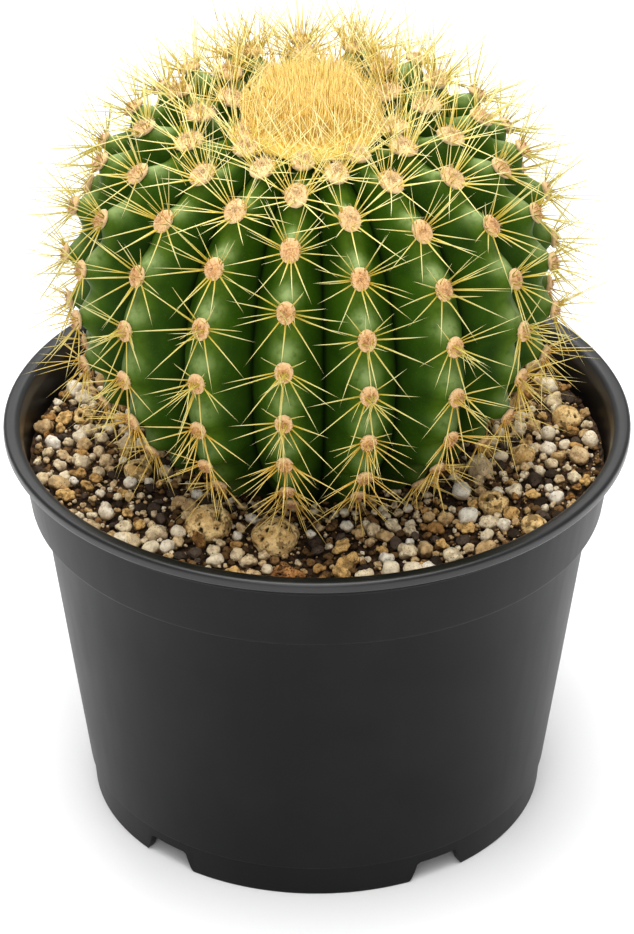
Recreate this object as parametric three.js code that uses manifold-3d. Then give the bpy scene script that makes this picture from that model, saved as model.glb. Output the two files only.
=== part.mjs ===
// A round barrel cactus growing in a plastic nursery pot filled with gritty soil.
// Units are millimetres and +Z is up. The origin is the centre of the pot's foot, on the table.
// Azimuths are in degrees from the front (-Y) towards +X.

import * as THREE from 'three';
import { mergeVertices } from 'three/addons/utils/BufferGeometryUtils.js';
import Module from 'manifold-3d';

const wasm = await Module();
wasm.setup();

// Room left between two pieces that touch, and the distance that near corners are merged within
const GAP = 0.35;
const WELD = 0.002;

// Nursery pot
const POT = {
  sides: 40,
  rimRadius: 77.5,
  rimTop: 105,
  lipWidth: 4,
  lipUnder: 102.5,
  lipRound: 1,
  beadBottom: 99.8,
  beadStand: 0.8,
  bandTop: 101.6,
  bandTopRadius: 73.8,
  bandBottom: 83.5,
  bandBottomRadius: 71.3,
  wallTopRadius: 68.3,
  wallFootRadius: 58.4,
  footTop: 8.8,
  footTopRadius: 57.9,
  footRadius: 57.1,
  footRingInner: 55,
  floorUnder: 6,
  floorTop: 7.4,
  wall: 1.2,
  ease: 0.3,
};
const NOTCH = {
  count: 5,
  first: -40.5,
  halfLow: 7.9,
  halfShoulder: 5.9,
  halfTop: 5,
  shoulder: 4.9,
  height: 5.7,
  cutDepth: 12,
};
const DRAIN = { count: 5, first: -4.5, radius: 5, ring: 38, sides: 12 };

// Soil
const SOIL = { level: 95.6, relief: 1.5, edgeDrop: 0.6, seed: 11 };
const SOIL_RINGS = [68, 64, 60, 56, 52, 48, 44, 40, 36, 32];
const SOCKET = { fromArc: 122, steps: 7, sides: 24 };
const GRAINS = { count: 19, small: 2, large: 3, inner: 34, outer: 68, seed: 23 };

// Loose stones and bark, which lie part sunk in the soil: distance from the pot's axis, azimuth,
// width, and the height that they are seated at
const PUMICE = [
  [45.5, -35, 12.4],
  [44.5, -13, 13.2],
  [64, 102, 8.4],
  [50.5, 58, 8],
  [45.5, -75, 7.4],
  [51, 85, 7],
  [64, 55, 7],
  [60, -104, 6.6],
];
const BARK = [[60, -7, 10]];
const STONE_SEAT = 94.6;
const STONE_SQUASH = 0.8;
const BARK_SQUASH = 0.42;
const STONE_SEED = 5;

// Plant: it stands at the soil line, a little left of the pot's axis, and leans to the front
const PLANT_PLACE = new THREE.Vector3(-1.2, 0, 95);
const PLANT_LEAN = THREE.MathUtils.degToRad(6);

// Crest line of a rib from the sunken apex, over the shoulder, to the root's tip:
// radius and height above the soil line
const CREST = [
  [0, 87.8],
  [8, 92.4],
  [16, 95.8],
  [24, 96.9],
  [32, 95.8],
  [40, 92.2],
  [47, 85.9],
  [52.4, 78],
  [56.2, 68],
  [57.8, 54],
  [56.6, 42.2],
  [53.5, 32],
  [47.8, 23.5],
  [39, 13],
  [31, 6.8],
  [25.5, 2],
  [21.5, -4],
  [17, -11],
  [9, -20],
  [0, -26],
];
const RIBS = 17;
const RIB_PHASE = -6.6;
// How far each rib stands from its even place, in degrees, as measured on the ones in view
const RIB_DRIFT = [0.3, -1.6, -1.1, 0.4, 0, 0, 0, 0, 0, 0, 0, 0, 0, 0, 0, 0.8, 0.9];
const COLUMNS_PER_RIB = 4;
// Furrow depth along the crest line: arc length from the apex, depth
const FURROW = [
  [0, 0],
  [12, 1.2],
  [27, 5],
  [48, 8],
  [70, 9.2],
  [95, 9],
  [115, 7],
  [132, 4],
  [146, 2.2],
  [158, 0],
];

// Areoles: the pitch along a crest, and the arc length that the staggering is counted from
const AREOLE = {
  pitch: 13.9,
  crowding: 0.04,
  middle: 61.4,
  firstArc: 23,
  lastArc: 123,
  bulge: 1,
  dip: -0.5,
  padRadius: 2.4,
  padHeight: 1.1,
};
const ROWS_PER_PITCH = 2;
const FIRST_PITCH = -4;
const LAST_PITCH = 6;
const NECK_ARCS = [150, 162, 176];

// Spines of one areole: turn from the way up the rib, rise above the surface, length
const SPINES = [
  [-80, 22, 11],
  [80, 22, 11],
  [-132, 27, 12.5],
  [132, 27, 12.5],
  [180, 56, 12],
];
const SPINE = {
  radius: 0.42,
  root: 2,
  fromCentre: 1.1,
  turnSpread: 6,
  riseSpread: 5,
  lengthSpread: 1.2,
  lowestTip: 99.2,
  farthestTip: 75,
  clearOfStones: 1,
  bend: 10,
  bends: 8,
  seed: 41,
};

// Woolly yellow crown on the apex
const CROWN = {
  sides: 18,
  arc: 15.5,
  edgeRadius: 17.6,
  edgeHeight: 98.4,
  topRadius: 9,
  topHeight: 101.6,
  needles: 46,
  needleRing: 15.4,
  needleLength: 9,
  needleRoot: 2.4,
  needleRadius: 0.55,
  lean: 24,
  seed: 67,
};

const PAINT = {
  pot: { color: 0x2b2b2b, roughness: 0.55, metalness: 0 },
  soil: { color: 0x4a3423, roughness: 0.95, metalness: 0 },
  pumice: { color: 0xc2a584, roughness: 0.95, metalness: 0 },
  bark: { color: 0x7d5433, roughness: 0.9, metalness: 0 },
  cactus: { color: 0x2f6a2a, roughness: 0.5, metalness: 0 },
  crown: { color: 0xe8c65a, roughness: 0.8, metalness: 0 },
};

// Small helpers

// A number series between 0 and 1 that is the same on every run
function seededRandom(seed) {
  let state = seed;
  return () => {
    state = (state * 1664525 + 1013904223) % 4294967296;
    return state / 4294967296;
  };
}

function radians(degrees) {
  return THREE.MathUtils.degToRad(degrees);
}

// Point at a radius, azimuth (in radians) and height
function polar(radius, azimuth, height) {
  return new THREE.Vector3(radius * Math.sin(azimuth), -radius * Math.cos(azimuth), height);
}

// Straight lines through a table of [x, y] pairs
function readTable(table, x) {
  for (let i = 1; i < table.length; i++) {
    const [x0, y0] = table[i - 1];
    const [x1, y1] = table[i];
    if (x <= x1) return y0 + ((y1 - y0) * (x - x0)) / (x1 - x0);
  }
  return table[table.length - 1][1];
}

function smoothRamp(t) {
  return THREE.MathUtils.smoothstep(t, 0, 1);
}

// A solid from points and triangles, turned so that its faces point out
function solidFromTriangles(points, triangles) {
  let volume = 0;
  for (const [a, b, c] of triangles) {
    volume += points[a].dot(new THREE.Vector3().crossVectors(points[b], points[c]));
  }
  const order = volume < 0 ? triangles.map(([a, b, c]) => [a, c, b]) : triangles;
  const vertProperties = new Float32Array(points.flatMap((p) => p.toArray()));
  const triVerts = new Uint32Array(order.flat());
  return new wasm.Manifold(new wasm.Mesh({ numProp: 3, vertProperties, triVerts, tolerance: WELD }));
}

// A solid from a closed three.js geometry, with its shared corners merged
function solidFromGeometry(geometry) {
  const bare = geometry.clone();
  bare.deleteAttribute('normal');
  bare.deleteAttribute('uv');
  const merged = mergeVertices(bare, 1e-4);
  const places = merged.getAttribute('position');
  const points = [];
  for (let i = 0; i < places.count; i++) {
    points.push(new THREE.Vector3().fromBufferAttribute(places, i));
  }
  const corners = merged.index.array;
  const triangles = [];
  for (let i = 0; i < corners.length; i += 3) {
    const [a, b, c] = corners.slice(i, i + 3);
    if (a !== b && b !== c && c !== a) triangles.push([a, b, c]);
  }
  return solidFromTriangles(points, triangles);
}

// Joins a list of solids in pairs, so that each join stays small
function joinAll(solids) {
  let list = solids;
  while (list.length > 1) {
    const next = [];
    for (let i = 0; i < list.length; i += 2) {
      next.push(i + 1 < list.length ? list[i].add(list[i + 1]) : list[i]);
    }
    list = next;
  }
  return list[0];
}

function meshFromSolid(name, solid, paint) {
  const { vertProperties, triVerts } = solid.getMesh();
  const geometry = new THREE.BufferGeometry();
  geometry.setAttribute('position', new THREE.BufferAttribute(vertProperties, 3));
  geometry.setIndex(new THREE.BufferAttribute(triVerts, 1));
  geometry.computeVertexNormals();
  const mesh = new THREE.Mesh(geometry, new THREE.MeshStandardMaterial(paint));
  mesh.name = name;
  return mesh;
}

// A turned solid from [radius, height] pairs that start and end on the axis
function turned(profile, sides) {
  const points = profile.map(([r, z]) => new THREE.Vector2(r, z));
  const geometry = new THREE.LatheGeometry(points, sides);
  geometry.rotateX(Math.PI / 2);
  return solidFromGeometry(geometry);
}

// A three-sided needle from a root point, along a direction
function needle(root, direction, length, radius) {
  const way = direction.clone().normalize();
  const helper = Math.abs(way.z) < 0.9 ? new THREE.Vector3(0, 0, 1) : new THREE.Vector3(1, 0, 0);
  const side = new THREE.Vector3().crossVectors(way, helper).normalize();
  const other = new THREE.Vector3().crossVectors(way, side);
  const points = [0, 1, 2].map((i) => {
    const turn = (i * 2 * Math.PI) / 3;
    return root
      .clone()
      .addScaledVector(side, radius * Math.cos(turn))
      .addScaledVector(other, radius * Math.sin(turn));
  });
  points.push(root.clone().addScaledVector(way, length));
  return solidFromTriangles(points, [[0, 2, 1], [0, 1, 3], [1, 2, 3], [2, 0, 3]]);
}

// Pot: one moulding, with a rolled lip, a wider band at the top and a foot ring with notches

function potOuterProfile() {
  return [
    [POT.footRingInner, 0],
    [POT.footRadius, 0],
    [POT.footTopRadius, POT.footTop - POT.ease],
    [POT.wallFootRadius, POT.footTop + POT.ease],
    [POT.wallTopRadius, POT.bandBottom],
    [POT.bandBottomRadius, POT.bandBottom],
    [POT.bandTopRadius - POT.ease, POT.beadBottom - POT.ease],
    [POT.bandTopRadius + POT.beadStand, POT.beadBottom + POT.ease],
    [POT.bandTopRadius + POT.beadStand, POT.bandTop],
    [POT.rimRadius, POT.lipUnder],
    [POT.rimRadius, POT.rimTop - POT.lipRound],
    [POT.rimRadius - POT.lipRound, POT.rimTop],
    [POT.rimRadius - POT.lipWidth, POT.rimTop - POT.lipRound / 2],
  ];
}

function potInnerProfile() {
  return [
    [POT.bandTopRadius - POT.wall, POT.bandTop],
    [POT.bandBottomRadius - POT.wall, POT.bandBottom + POT.wall],
    [POT.wallTopRadius - POT.wall, POT.bandBottom - POT.wall / 2],
    [POT.wallFootRadius - 1.5 * POT.wall, POT.floorTop],
  ];
}

function buildPot() {
  const profile = [
    [0, POT.floorUnder],
    [POT.footRingInner, POT.floorUnder],
    ...potOuterProfile(),
    ...potInnerProfile(),
    [0, POT.floorTop],
  ];
  let pot = turned(profile, POT.sides);
  for (let i = 0; i < NOTCH.count; i++) {
    pot = pot.subtract(footNotch(radians(NOTCH.first + (i * 360) / NOTCH.count)));
  }
  for (let i = 0; i < DRAIN.count; i++) {
    pot = pot.subtract(drainHole(radians(DRAIN.first + (i * 360) / DRAIN.count)));
  }
  return pot;
}

// A cutter for one notch: narrower at its top, and reaching through the foot ring only
function footNotch(azimuth) {
  const outline = new THREE.Shape([
    new THREE.Vector2(-NOTCH.halfLow, -1),
    new THREE.Vector2(NOTCH.halfLow, -1),
    new THREE.Vector2(NOTCH.halfShoulder, NOTCH.shoulder),
    new THREE.Vector2(NOTCH.halfTop, NOTCH.height),
    new THREE.Vector2(-NOTCH.halfTop, NOTCH.height),
    new THREE.Vector2(-NOTCH.halfShoulder, NOTCH.shoulder),
  ]);
  const depth = NOTCH.cutDepth;
  const geometry = new THREE.ExtrudeGeometry(outline, { depth, bevelEnabled: false });
  geometry.rotateX(Math.PI / 2);
  geometry.translate(0, depth / 2 - POT.footRingInner, 0);
  geometry.rotateZ(azimuth);
  return solidFromGeometry(geometry);
}

function drainHole(azimuth) {
  const height = POT.floorTop + 2;
  const geometry = new THREE.CylinderGeometry(DRAIN.radius, DRAIN.radius, height, DRAIN.sides);
  geometry.rotateX(Math.PI / 2);
  const centre = polar(DRAIN.ring, azimuth, height / 2 + 1);
  geometry.translate(centre.x, centre.y, centre.z);
  return solidFromGeometry(geometry);
}

// Crest line of the plant and what is measured along it

const crestCurve = new THREE.SplineCurve(CREST.map(([r, z]) => new THREE.Vector2(r, z)));
crestCurve.arcLengthDivisions = 2000;
const crestLength = crestCurve.getLength();

// The crest's radius, height and outward normal at an arc length from the apex
function crestAt(arc) {
  const u = THREE.MathUtils.clamp(arc / crestLength, 0, 1);
  const point = crestCurve.getPointAt(u);
  const tangent = crestCurve.getTangentAt(u);
  return { r: point.x, z: point.y, nr: -tangent.y, nz: tangent.x };
}

// Point on the plant at an arc length and azimuth, raised along the crest line's normal
function plantPoint(arc, azimuth, raise) {
  const crest = crestAt(arc);
  return polar(crest.r + raise * crest.nr, azimuth, crest.z + raise * crest.nz);
}

// Azimuth of a place between a rib's crest and the next one's
function ribAzimuth(rib, part) {
  const here = RIB_DRIFT[rib];
  const next = RIB_DRIFT[(rib + 1) % RIBS];
  return radians(RIB_PHASE + here + (next - here) * part + ((rib + part) * 360) / RIBS);
}

// Where the areoles of a rib sit: neighbours are half a pitch apart, and as the ribs are an odd
// number, the stagger drifts by another half pitch round the left of the plant
function areoleShift(rib) {
  const fromFront = rib > 5 ? rib - RIBS : rib;
  const half = Math.abs(fromFront) % 2 === 1 ? 0.5 : 0;
  const drift = 0.5 * smoothRamp((-1 - fromFront) / 3);
  const back = 0.15 * smoothRamp((Math.abs(fromFront) - 3) / 2);
  return (half + drift + back) % 1;
}

// Arc length of a place counted in pitches from the middle of the plant
function areoleArc(pitches) {
  return AREOLE.middle + AREOLE.pitch * pitches - AREOLE.crowding * pitches ** 3;
}

const plantMatrix = new THREE.Matrix4().compose(
  PLANT_PLACE,
  new THREE.Quaternion().setFromEuler(new THREE.Euler(PLANT_LEAN, 0, 0)),
  new THREE.Vector3(1, 1, 1),
);

function inPot(point) {
  return point.clone().applyMatrix4(plantMatrix);
}

// Cactus: ribbed body, areole pads raised from the crests, and spines

// The body's grid: one column for each crest, flank and furrow. The rows follow each column's
// own areoles, so that an areole always falls on a corner of the grid
function bodyGrid() {
  const columns = RIBS * COLUMNS_PER_RIB;
  const pitchRows = (LAST_PITCH - FIRST_PITCH) * ROWS_PER_PITCH + 1;
  const grid = [];
  for (let column = 0; column < columns; column++) {
    const rib = Math.floor(column / COLUMNS_PER_RIB);
    const part = (column % COLUMNS_PER_RIB) / COLUMNS_PER_RIB;
    const azimuth = ribAzimuth(rib, part);
    const here = areoleShift(rib);
    const next = areoleShift((rib + 1) % RIBS);
    const shift = here + (next - here) * part;
    const depthShare = 1 - Math.abs(Math.cos(Math.PI * part));
    const line = [];
    for (let row = 0; row < pitchRows; row++) {
      const pitches = FIRST_PITCH + row / ROWS_PER_PITCH + shift;
      const arc = areoleArc(pitches);
      const onAreole = part === 0 && row % ROWS_PER_PITCH === 0;
      line.push(bodyCorner(arc, azimuth, depthShare, part === 0, onAreole));
    }
    for (const arc of NECK_ARCS) line.push(bodyCorner(arc, azimuth, depthShare, false, false));
    grid.push(line);
  }
  return grid;
}

function bodyCorner(arc, azimuth, depthShare, onCrest, onAreole) {
  const open = arc > AREOLE.firstArc && arc < AREOLE.lastArc;
  const areole = onAreole && open;
  let raise = -readTable(FURROW, arc) * depthShare;
  if (onCrest && open) raise += areole ? AREOLE.bulge : AREOLE.dip;
  return { arc, azimuth, areole, point: plantPoint(arc, azimuth, raise) };
}

// Body mesh from the grid. Round each areole the corners are cut back to a ring, and a low
// pad is raised inside it
function buildBody(grid) {
  const columns = grid.length;
  const rows = grid[0].length;
  const points = [plantPoint(0, 0, 0)];
  const areoles = [];
  for (const line of grid) {
    for (const corner of line) {
      corner.index = points.length;
      points.push(corner.point);
      if (corner.areole) areoles.push(corner);
    }
  }
  const rootTip = points.length;
  points.push(plantPoint(crestLength, 0, 0));

  const triangles = [];
  const padRing = new Map();
  function ringCorner(areole, towards) {
    const key = `${areole.index},${towards.index}`;
    if (!padRing.has(key)) {
      const crest = crestAt(areole.arc);
      const out = polar(crest.nr, areole.azimuth, crest.nz);
      const way = towards.point.clone().sub(areole.point).normalize();
      const place = areole.point.clone().addScaledVector(way, AREOLE.padRadius);
      padRing.set(key, points.length);
      points.push(place.addScaledVector(out, AREOLE.padHeight / 2));
    }
    return padRing.get(key);
  }
  function face(a, b, c) {
    const corners = [a, b, c];
    const at = corners.findIndex((corner) => corner.areole);
    if (at < 0) {
      triangles.push([a.index, b.index, c.index]);
      return;
    }
    const areole = corners[at];
    const right = corners[(at + 1) % 3];
    const left = corners[(at + 2) % 3];
    const nearRight = ringCorner(areole, right);
    const nearLeft = ringCorner(areole, left);
    triangles.push([nearRight, right.index, left.index]);
    triangles.push([nearRight, left.index, nearLeft]);
    triangles.push([areole.index, nearRight, nearLeft]);
  }
  for (let i = 0; i < columns; i++) {
    const line = grid[i];
    const next = grid[(i + 1) % columns];
    triangles.push([0, next[0].index, line[0].index]);
    for (let j = 0; j + 1 < rows; j++) {
      face(line[j], next[j], next[j + 1]);
      face(line[j], next[j + 1], line[j + 1]);
    }
    triangles.push([rootTip, line[rows - 1].index, next[rows - 1].index]);
  }
  for (const areole of areoles) {
    const crest = crestAt(areole.arc);
    const out = polar(crest.nr, areole.azimuth, crest.nz);
    points[areole.index] = areole.point.clone().addScaledVector(out, AREOLE.padHeight);
  }
  return { body: solidFromTriangles(points, triangles), areoles };
}

// The spines of one areole. Those low on the plant are bent up until they clear the soil,
// and any that would still touch a stone or reach past the rim are left out
function areoleSpines(areole, random, stones) {
  const crest = crestAt(areole.arc);
  const out = polar(crest.nr, areole.azimuth, crest.nz);
  const up = polar(-crest.nz, areole.azimuth, crest.nr);
  const side = new THREE.Vector3().crossVectors(up, out);
  const spines = [];
  for (const [turn, rise, length] of SPINES) {
    const aim = radians(turn + SPINE.turnSpread * (2 * random() - 1));
    const along = up.clone().multiplyScalar(Math.cos(aim)).addScaledVector(side, Math.sin(aim));
    const reach = length + SPINE.lengthSpread * (2 * random() - 1);
    let lift = radians(rise + SPINE.riseSpread * (2 * random() - 1));
    let spine = null;
    for (let bend = 0; bend < SPINE.bends && spine === null; bend++) {
      const way = along.clone().multiplyScalar(Math.cos(lift)).addScaledVector(out, Math.sin(lift));
      const root = areole.point
        .clone()
        .addScaledVector(along, SPINE.fromCentre)
        .addScaledVector(way, -SPINE.root);
      const tip = root.clone().addScaledVector(way, SPINE.root + reach);
      if (spineIsClear(inPot(root), inPot(tip), stones)) {
        spine = needle(root, way, SPINE.root + reach, SPINE.radius);
      }
      lift += radians(SPINE.bend);
    }
    if (spine !== null) spines.push(spine);
  }
  return spines;
}

function spineIsClear(root, tip, stones) {
  if (tip.z < SPINE.lowestTip) return false;
  if (Math.hypot(tip.x, tip.y) > SPINE.farthestTip) return false;
  const line = new THREE.Line3(root, tip);
  const nearest = new THREE.Vector3();
  return stones.every(({ centre, half }) => {
    line.closestPointToPoint(centre, true, nearest);
    return nearest.distanceTo(centre) > half + SPINE.clearOfStones;
  });
}

function buildCactus(stones) {
  const { body, areoles } = buildBody(bodyGrid());
  const random = seededRandom(SPINE.seed);
  const spines = areoles.flatMap((areole) => areoleSpines(areole, random, stones));
  return joinAll([body, joinAll(spines)]);
}

// Crown: a pad of yellow wool on the apex, with upright needles growing through it

function buildCrown() {
  const under = [];
  const steps = 4;
  for (let i = 0; i <= steps; i++) {
    const arc = (CROWN.arc * i) / steps;
    const crest = crestAt(arc);
    const radius = i === 0 ? 0 : crest.r + GAP * crest.nr;
    under.push([radius, crest.z + GAP * crest.nz]);
  }
  const pad = turned(
    [
      ...under,
      [CROWN.edgeRadius, CROWN.edgeHeight],
      [(CROWN.edgeRadius + CROWN.topRadius) / 2, CROWN.topHeight - 0.5],
      [CROWN.topRadius, CROWN.topHeight],
      [0, CROWN.topHeight],
    ],
    CROWN.sides,
  );
  const random = seededRandom(CROWN.seed);
  const goldenAngle = Math.PI * (3 - Math.sqrt(5));
  const needles = [];
  for (let i = 0; i < CROWN.needles; i++) {
    const share = Math.sqrt((i + 0.5) / CROWN.needles);
    const azimuth = i * goldenAngle;
    const lean = radians(CROWN.lean * share * (0.7 + 0.6 * random()));
    const way = polar(Math.sin(lean), azimuth, Math.cos(lean));
    const root = polar(CROWN.needleRing * share, azimuth, CROWN.topHeight - CROWN.needleRoot);
    const length = CROWN.needleLength * (0.85 + 0.3 * random());
    needles.push(needle(root, way, length, CROWN.needleRadius));
  }
  return joinAll([pad, ...needles]);
}

// Loose stones and bark chips

// A lumpy closed solid about the origin, and the same a little larger to cut its pit with
function lump(width, squash, random) {
  const half = width / 2;
  const geometry = new THREE.IcosahedronGeometry(half, 1);
  geometry.deleteAttribute('normal');
  geometry.deleteAttribute('uv');
  const merged = mergeVertices(geometry, 1e-4);
  const places = merged.getAttribute('position');
  const stretch = 0.9 + 0.15 * random();
  for (let i = 0; i < places.count; i++) {
    const swell = 0.93 + 0.12 * random();
    const point = new THREE.Vector3().fromBufferAttribute(places, i).multiplyScalar(swell);
    places.setXYZ(i, point.x, point.y * stretch, point.z * squash);
  }
  return merged;
}

function layDown([radius, azimuth, width], squash, random) {
  const half = width / 2;
  const geometry = lump(width, squash, random);
  geometry.rotateZ(2 * Math.PI * random());
  const pit = geometry.clone();
  const grow = 1 + (GAP + 0.15) / (half * squash);
  pit.scale(grow, grow, grow);
  const centre = polar(radius, radians(azimuth), STONE_SEAT + half * squash * 0.35);
  geometry.translate(centre.x, centre.y, centre.z);
  pit.translate(centre.x, centre.y, centre.z);
  return { centre, half, solid: solidFromGeometry(geometry), pit: solidFromGeometry(pit) };
}

// Soil: it fills the pot, with a plain socket for the plant and pits for the loose stones

function soilProfile() {
  const wall = potInnerProfile().slice(1);
  const inset = GAP + 0.1;
  const sides = wall.reverse().map(([r, z]) => [r - inset, z + (z < POT.footTop ? GAP : 0)]);
  const edge = readTable(
    [
      [POT.bandBottom, POT.bandBottomRadius],
      [POT.bandTop, POT.bandTopRadius],
    ],
    SOIL.level,
  );
  return [
    [0, POT.floorTop + GAP],
    ...sides,
    [edge - POT.wall - inset, SOIL.level - SOIL.edgeDrop],
    ...SOIL_RINGS.map((radius) => [radius, SOIL.level]),
    [0, SOIL.level],
  ];
}

// The block of soil, with its open surface made uneven
function soilBlock() {
  const points = soilProfile().map(([r, z]) => new THREE.Vector2(r, z));
  const geometry = new THREE.LatheGeometry(points, POT.sides);
  geometry.rotateX(Math.PI / 2);
  geometry.deleteAttribute('normal');
  geometry.deleteAttribute('uv');
  const merged = mergeVertices(geometry, 1e-4);
  const places = merged.getAttribute('position');
  const random = seededRandom(SOIL.seed);
  for (let i = 0; i < places.count; i++) {
    if (places.getZ(i) > SOIL.level - 0.1) {
      places.setZ(i, SOIL.level + SOIL.relief * (2 * random() - 1));
    }
  }
  return solidFromGeometry(merged);
}

// What the plant's foot and root take up in the soil, a little larger all round
function socketCutter() {
  const profile = [];
  const room = 2 * GAP;
  for (let i = 0; i < SOCKET.steps; i++) {
    const arc = SOCKET.fromArc + ((crestLength - SOCKET.fromArc) * i) / SOCKET.steps;
    const crest = crestAt(arc);
    profile.push([crest.r + room * crest.nr, crest.z + room * crest.nz]);
  }
  profile.push([0, crestAt(crestLength).z - room]);
  const points = [[0, profile[0][1]], ...profile].map(([r, z]) => new THREE.Vector2(r, z));
  const geometry = new THREE.LatheGeometry(points, SOCKET.sides);
  geometry.rotateX(Math.PI / 2);
  geometry.applyMatrix4(plantMatrix);
  return solidFromGeometry(geometry);
}

// Small grains fused to the surface, each half sunk and clear of the others
function soilGrains(stones) {
  const random = seededRandom(GRAINS.seed);
  const taken = stones.map(({ centre, half }) => ({ centre, half }));
  const grains = [];
  for (let tries = 0; tries < 4000 && grains.length < GRAINS.count; tries++) {
    const half = GRAINS.small + (GRAINS.large - GRAINS.small) * random();
    const share = random();
    const radius = Math.sqrt(GRAINS.inner ** 2 + share * (GRAINS.outer ** 2 - GRAINS.inner ** 2));
    const centre = polar(radius, 2 * Math.PI * random(), SOIL.level + 0.2 * half);
    const clear = taken.every((other) => {
      const apart = Math.hypot(other.centre.x - centre.x, other.centre.y - centre.y);
      return apart > other.half + half + 0.6;
    });
    if (!clear) continue;
    taken.push({ centre, half });
    const geometry = new THREE.IcosahedronGeometry(half, 0);
    geometry.rotateX(Math.PI * random());
    geometry.rotateZ(Math.PI * random());
    geometry.scale(1, 1, STONE_SQUASH);
    geometry.translate(centre.x, centre.y, centre.z);
    grains.push(solidFromGeometry(geometry));
  }
  return grains;
}

function buildSoil(stones) {
  let soil = joinAll([soilBlock(), ...soilGrains(stones)]);
  soil = soil.subtract(socketCutter());
  for (const { pit } of stones) soil = soil.subtract(pit);
  return largestOf(soil);
}

// A solid without the loose scraps that a cut has left beside it
function largestOf(solid) {
  const bodies = solid.decompose();
  return bodies.reduce((best, body) => (body.volume() > best.volume() ? body : best));
}

// The whole object

function numbered(name, i) {
  return `${name}_${String(i + 1).padStart(2, '0')}`;
}

const stoneRandom = seededRandom(STONE_SEED);
const pumice = PUMICE.map((place) => layDown(place, STONE_SQUASH, stoneRandom));
const bark = BARK.map((place) => layDown(place, BARK_SQUASH, stoneRandom));
const stones = [...pumice, ...bark];

const plant = new THREE.Group();
plant.applyMatrix4(plantMatrix);
plant.add(meshFromSolid('cactus', buildCactus(stones), PAINT.cactus));
plant.add(meshFromSolid('crown_wool', buildCrown(), PAINT.crown));

const group = new THREE.Group();
group.add(meshFromSolid('pot', buildPot(), PAINT.pot));
group.add(meshFromSolid('soil', buildSoil(stones), PAINT.soil));
group.add(plant);
pumice.forEach(({ solid }, i) => {
  group.add(meshFromSolid(numbered('pumice', i), solid, PAINT.pumice));
});
bark.forEach(({ solid }, i) => {
  group.add(meshFromSolid(numbered('bark_chip', i), solid, PAINT.bark));
});

export default group;
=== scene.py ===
# %% [markdown]
# # A potted round cactus
# This script dresses the plain solids of a potted barrel cactus. The solids give the sizes: a tapered
# nursery pot, gritty soil, a ribbed plant and a few loose stones. Here each one gets its fine shape and
# its finish. All lengths below are millimetres until a mesh is made, because the plant was measured so.

# %% Frame
import math

import bpy
import bmesh
import numpy as np
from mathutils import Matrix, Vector


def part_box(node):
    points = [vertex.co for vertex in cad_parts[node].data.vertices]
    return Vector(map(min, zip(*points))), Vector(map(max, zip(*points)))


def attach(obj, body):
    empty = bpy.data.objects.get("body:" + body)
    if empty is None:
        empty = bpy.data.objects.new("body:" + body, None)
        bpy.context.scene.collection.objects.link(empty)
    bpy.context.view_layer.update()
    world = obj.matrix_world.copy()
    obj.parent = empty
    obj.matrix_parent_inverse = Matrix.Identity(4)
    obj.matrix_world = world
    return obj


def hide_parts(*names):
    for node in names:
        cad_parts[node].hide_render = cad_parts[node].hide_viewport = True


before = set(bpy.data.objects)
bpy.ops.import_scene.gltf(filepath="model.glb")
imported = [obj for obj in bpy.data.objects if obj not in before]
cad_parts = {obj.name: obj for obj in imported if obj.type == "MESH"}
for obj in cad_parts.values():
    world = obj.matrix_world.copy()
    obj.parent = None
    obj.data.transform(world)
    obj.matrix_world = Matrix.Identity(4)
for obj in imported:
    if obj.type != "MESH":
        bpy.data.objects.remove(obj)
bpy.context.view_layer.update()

MM = 0.001
print("solids:", sorted(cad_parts))

# %% [markdown]
# ## Camera, light and floor
# The picture looks down at the pot through a long lens. The camera's place was worked out from the
# circles of the rim and the foot. The object stands on a white sweep in soft light, so the floor is
# plain, the sky is an even white, and of three large lamps the strongest hangs over the plant.

# %% Camera and stage
CAMERA_PLACE = (0.0, -954.26, 675.85)
CAMERA_DOWN = 31.568
CAMERA_LENS = 173.45
SENSOR_WIDTH = 36
FARTHEST_SEEN = 50
SKY = 0.42
FLOOR_WHITE = 0.93
LAMP_AIM_HEIGHT = 120
LAMPS = {
    "lamp_over": {"place": (-30, -200, 1500), "size": 1300, "watts": 28},
    "lamp_front": {"place": (-100, -1500, 1000), "size": 1200, "watts": 11},
    "lamp_back": {"place": (-100, 900, 1300), "size": 1000, "watts": 9},
}


def add_camera():
    made = bpy.data.objects.new("camera", bpy.data.cameras.new("camera"))
    bpy.context.scene.collection.objects.link(made)
    made.location = Vector(CAMERA_PLACE) * MM
    made.rotation_euler = (math.radians(90 - CAMERA_DOWN), 0, 0)
    made.data.lens = CAMERA_LENS
    made.data.sensor_width = SENSOR_WIDTH
    made.data.clip_end = FARTHEST_SEEN
    bpy.context.scene.camera = made


def add_lamp(name, place, size, watts):
    made = bpy.data.objects.new(name, bpy.data.lights.new(name, "AREA"))
    bpy.context.scene.collection.objects.link(made)
    made.location = Vector(place) * MM
    made.data.size = size * MM
    made.data.energy = watts
    aim = Vector((0, 0, LAMP_AIM_HEIGHT * MM)) - made.location
    made.rotation_euler = aim.to_track_quat("-Z", "Y").to_euler()


add_camera()
for lamp, facts in LAMPS.items():
    add_lamp(lamp, **facts)
world = bpy.data.worlds.new("sky")
world.use_nodes = True
world.node_tree.nodes["Background"].inputs["Color"].default_value = (1, 1, 1, 1)
world.node_tree.nodes["Background"].inputs["Strength"].default_value = SKY
bpy.context.scene.world = world
bpy.context.scene.view_settings.view_transform = "Standard"
print("lamps:", list(LAMPS))

# %% [markdown]
# ## Sums with nodes
# A material, or a rule in Geometry Nodes, is a sum over the surface. Writing it as plain Python keeps it
# readable: a Value wraps one socket, and adding or multiplying two of them adds a Math node to the tree.

# %% Node helpers


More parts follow.
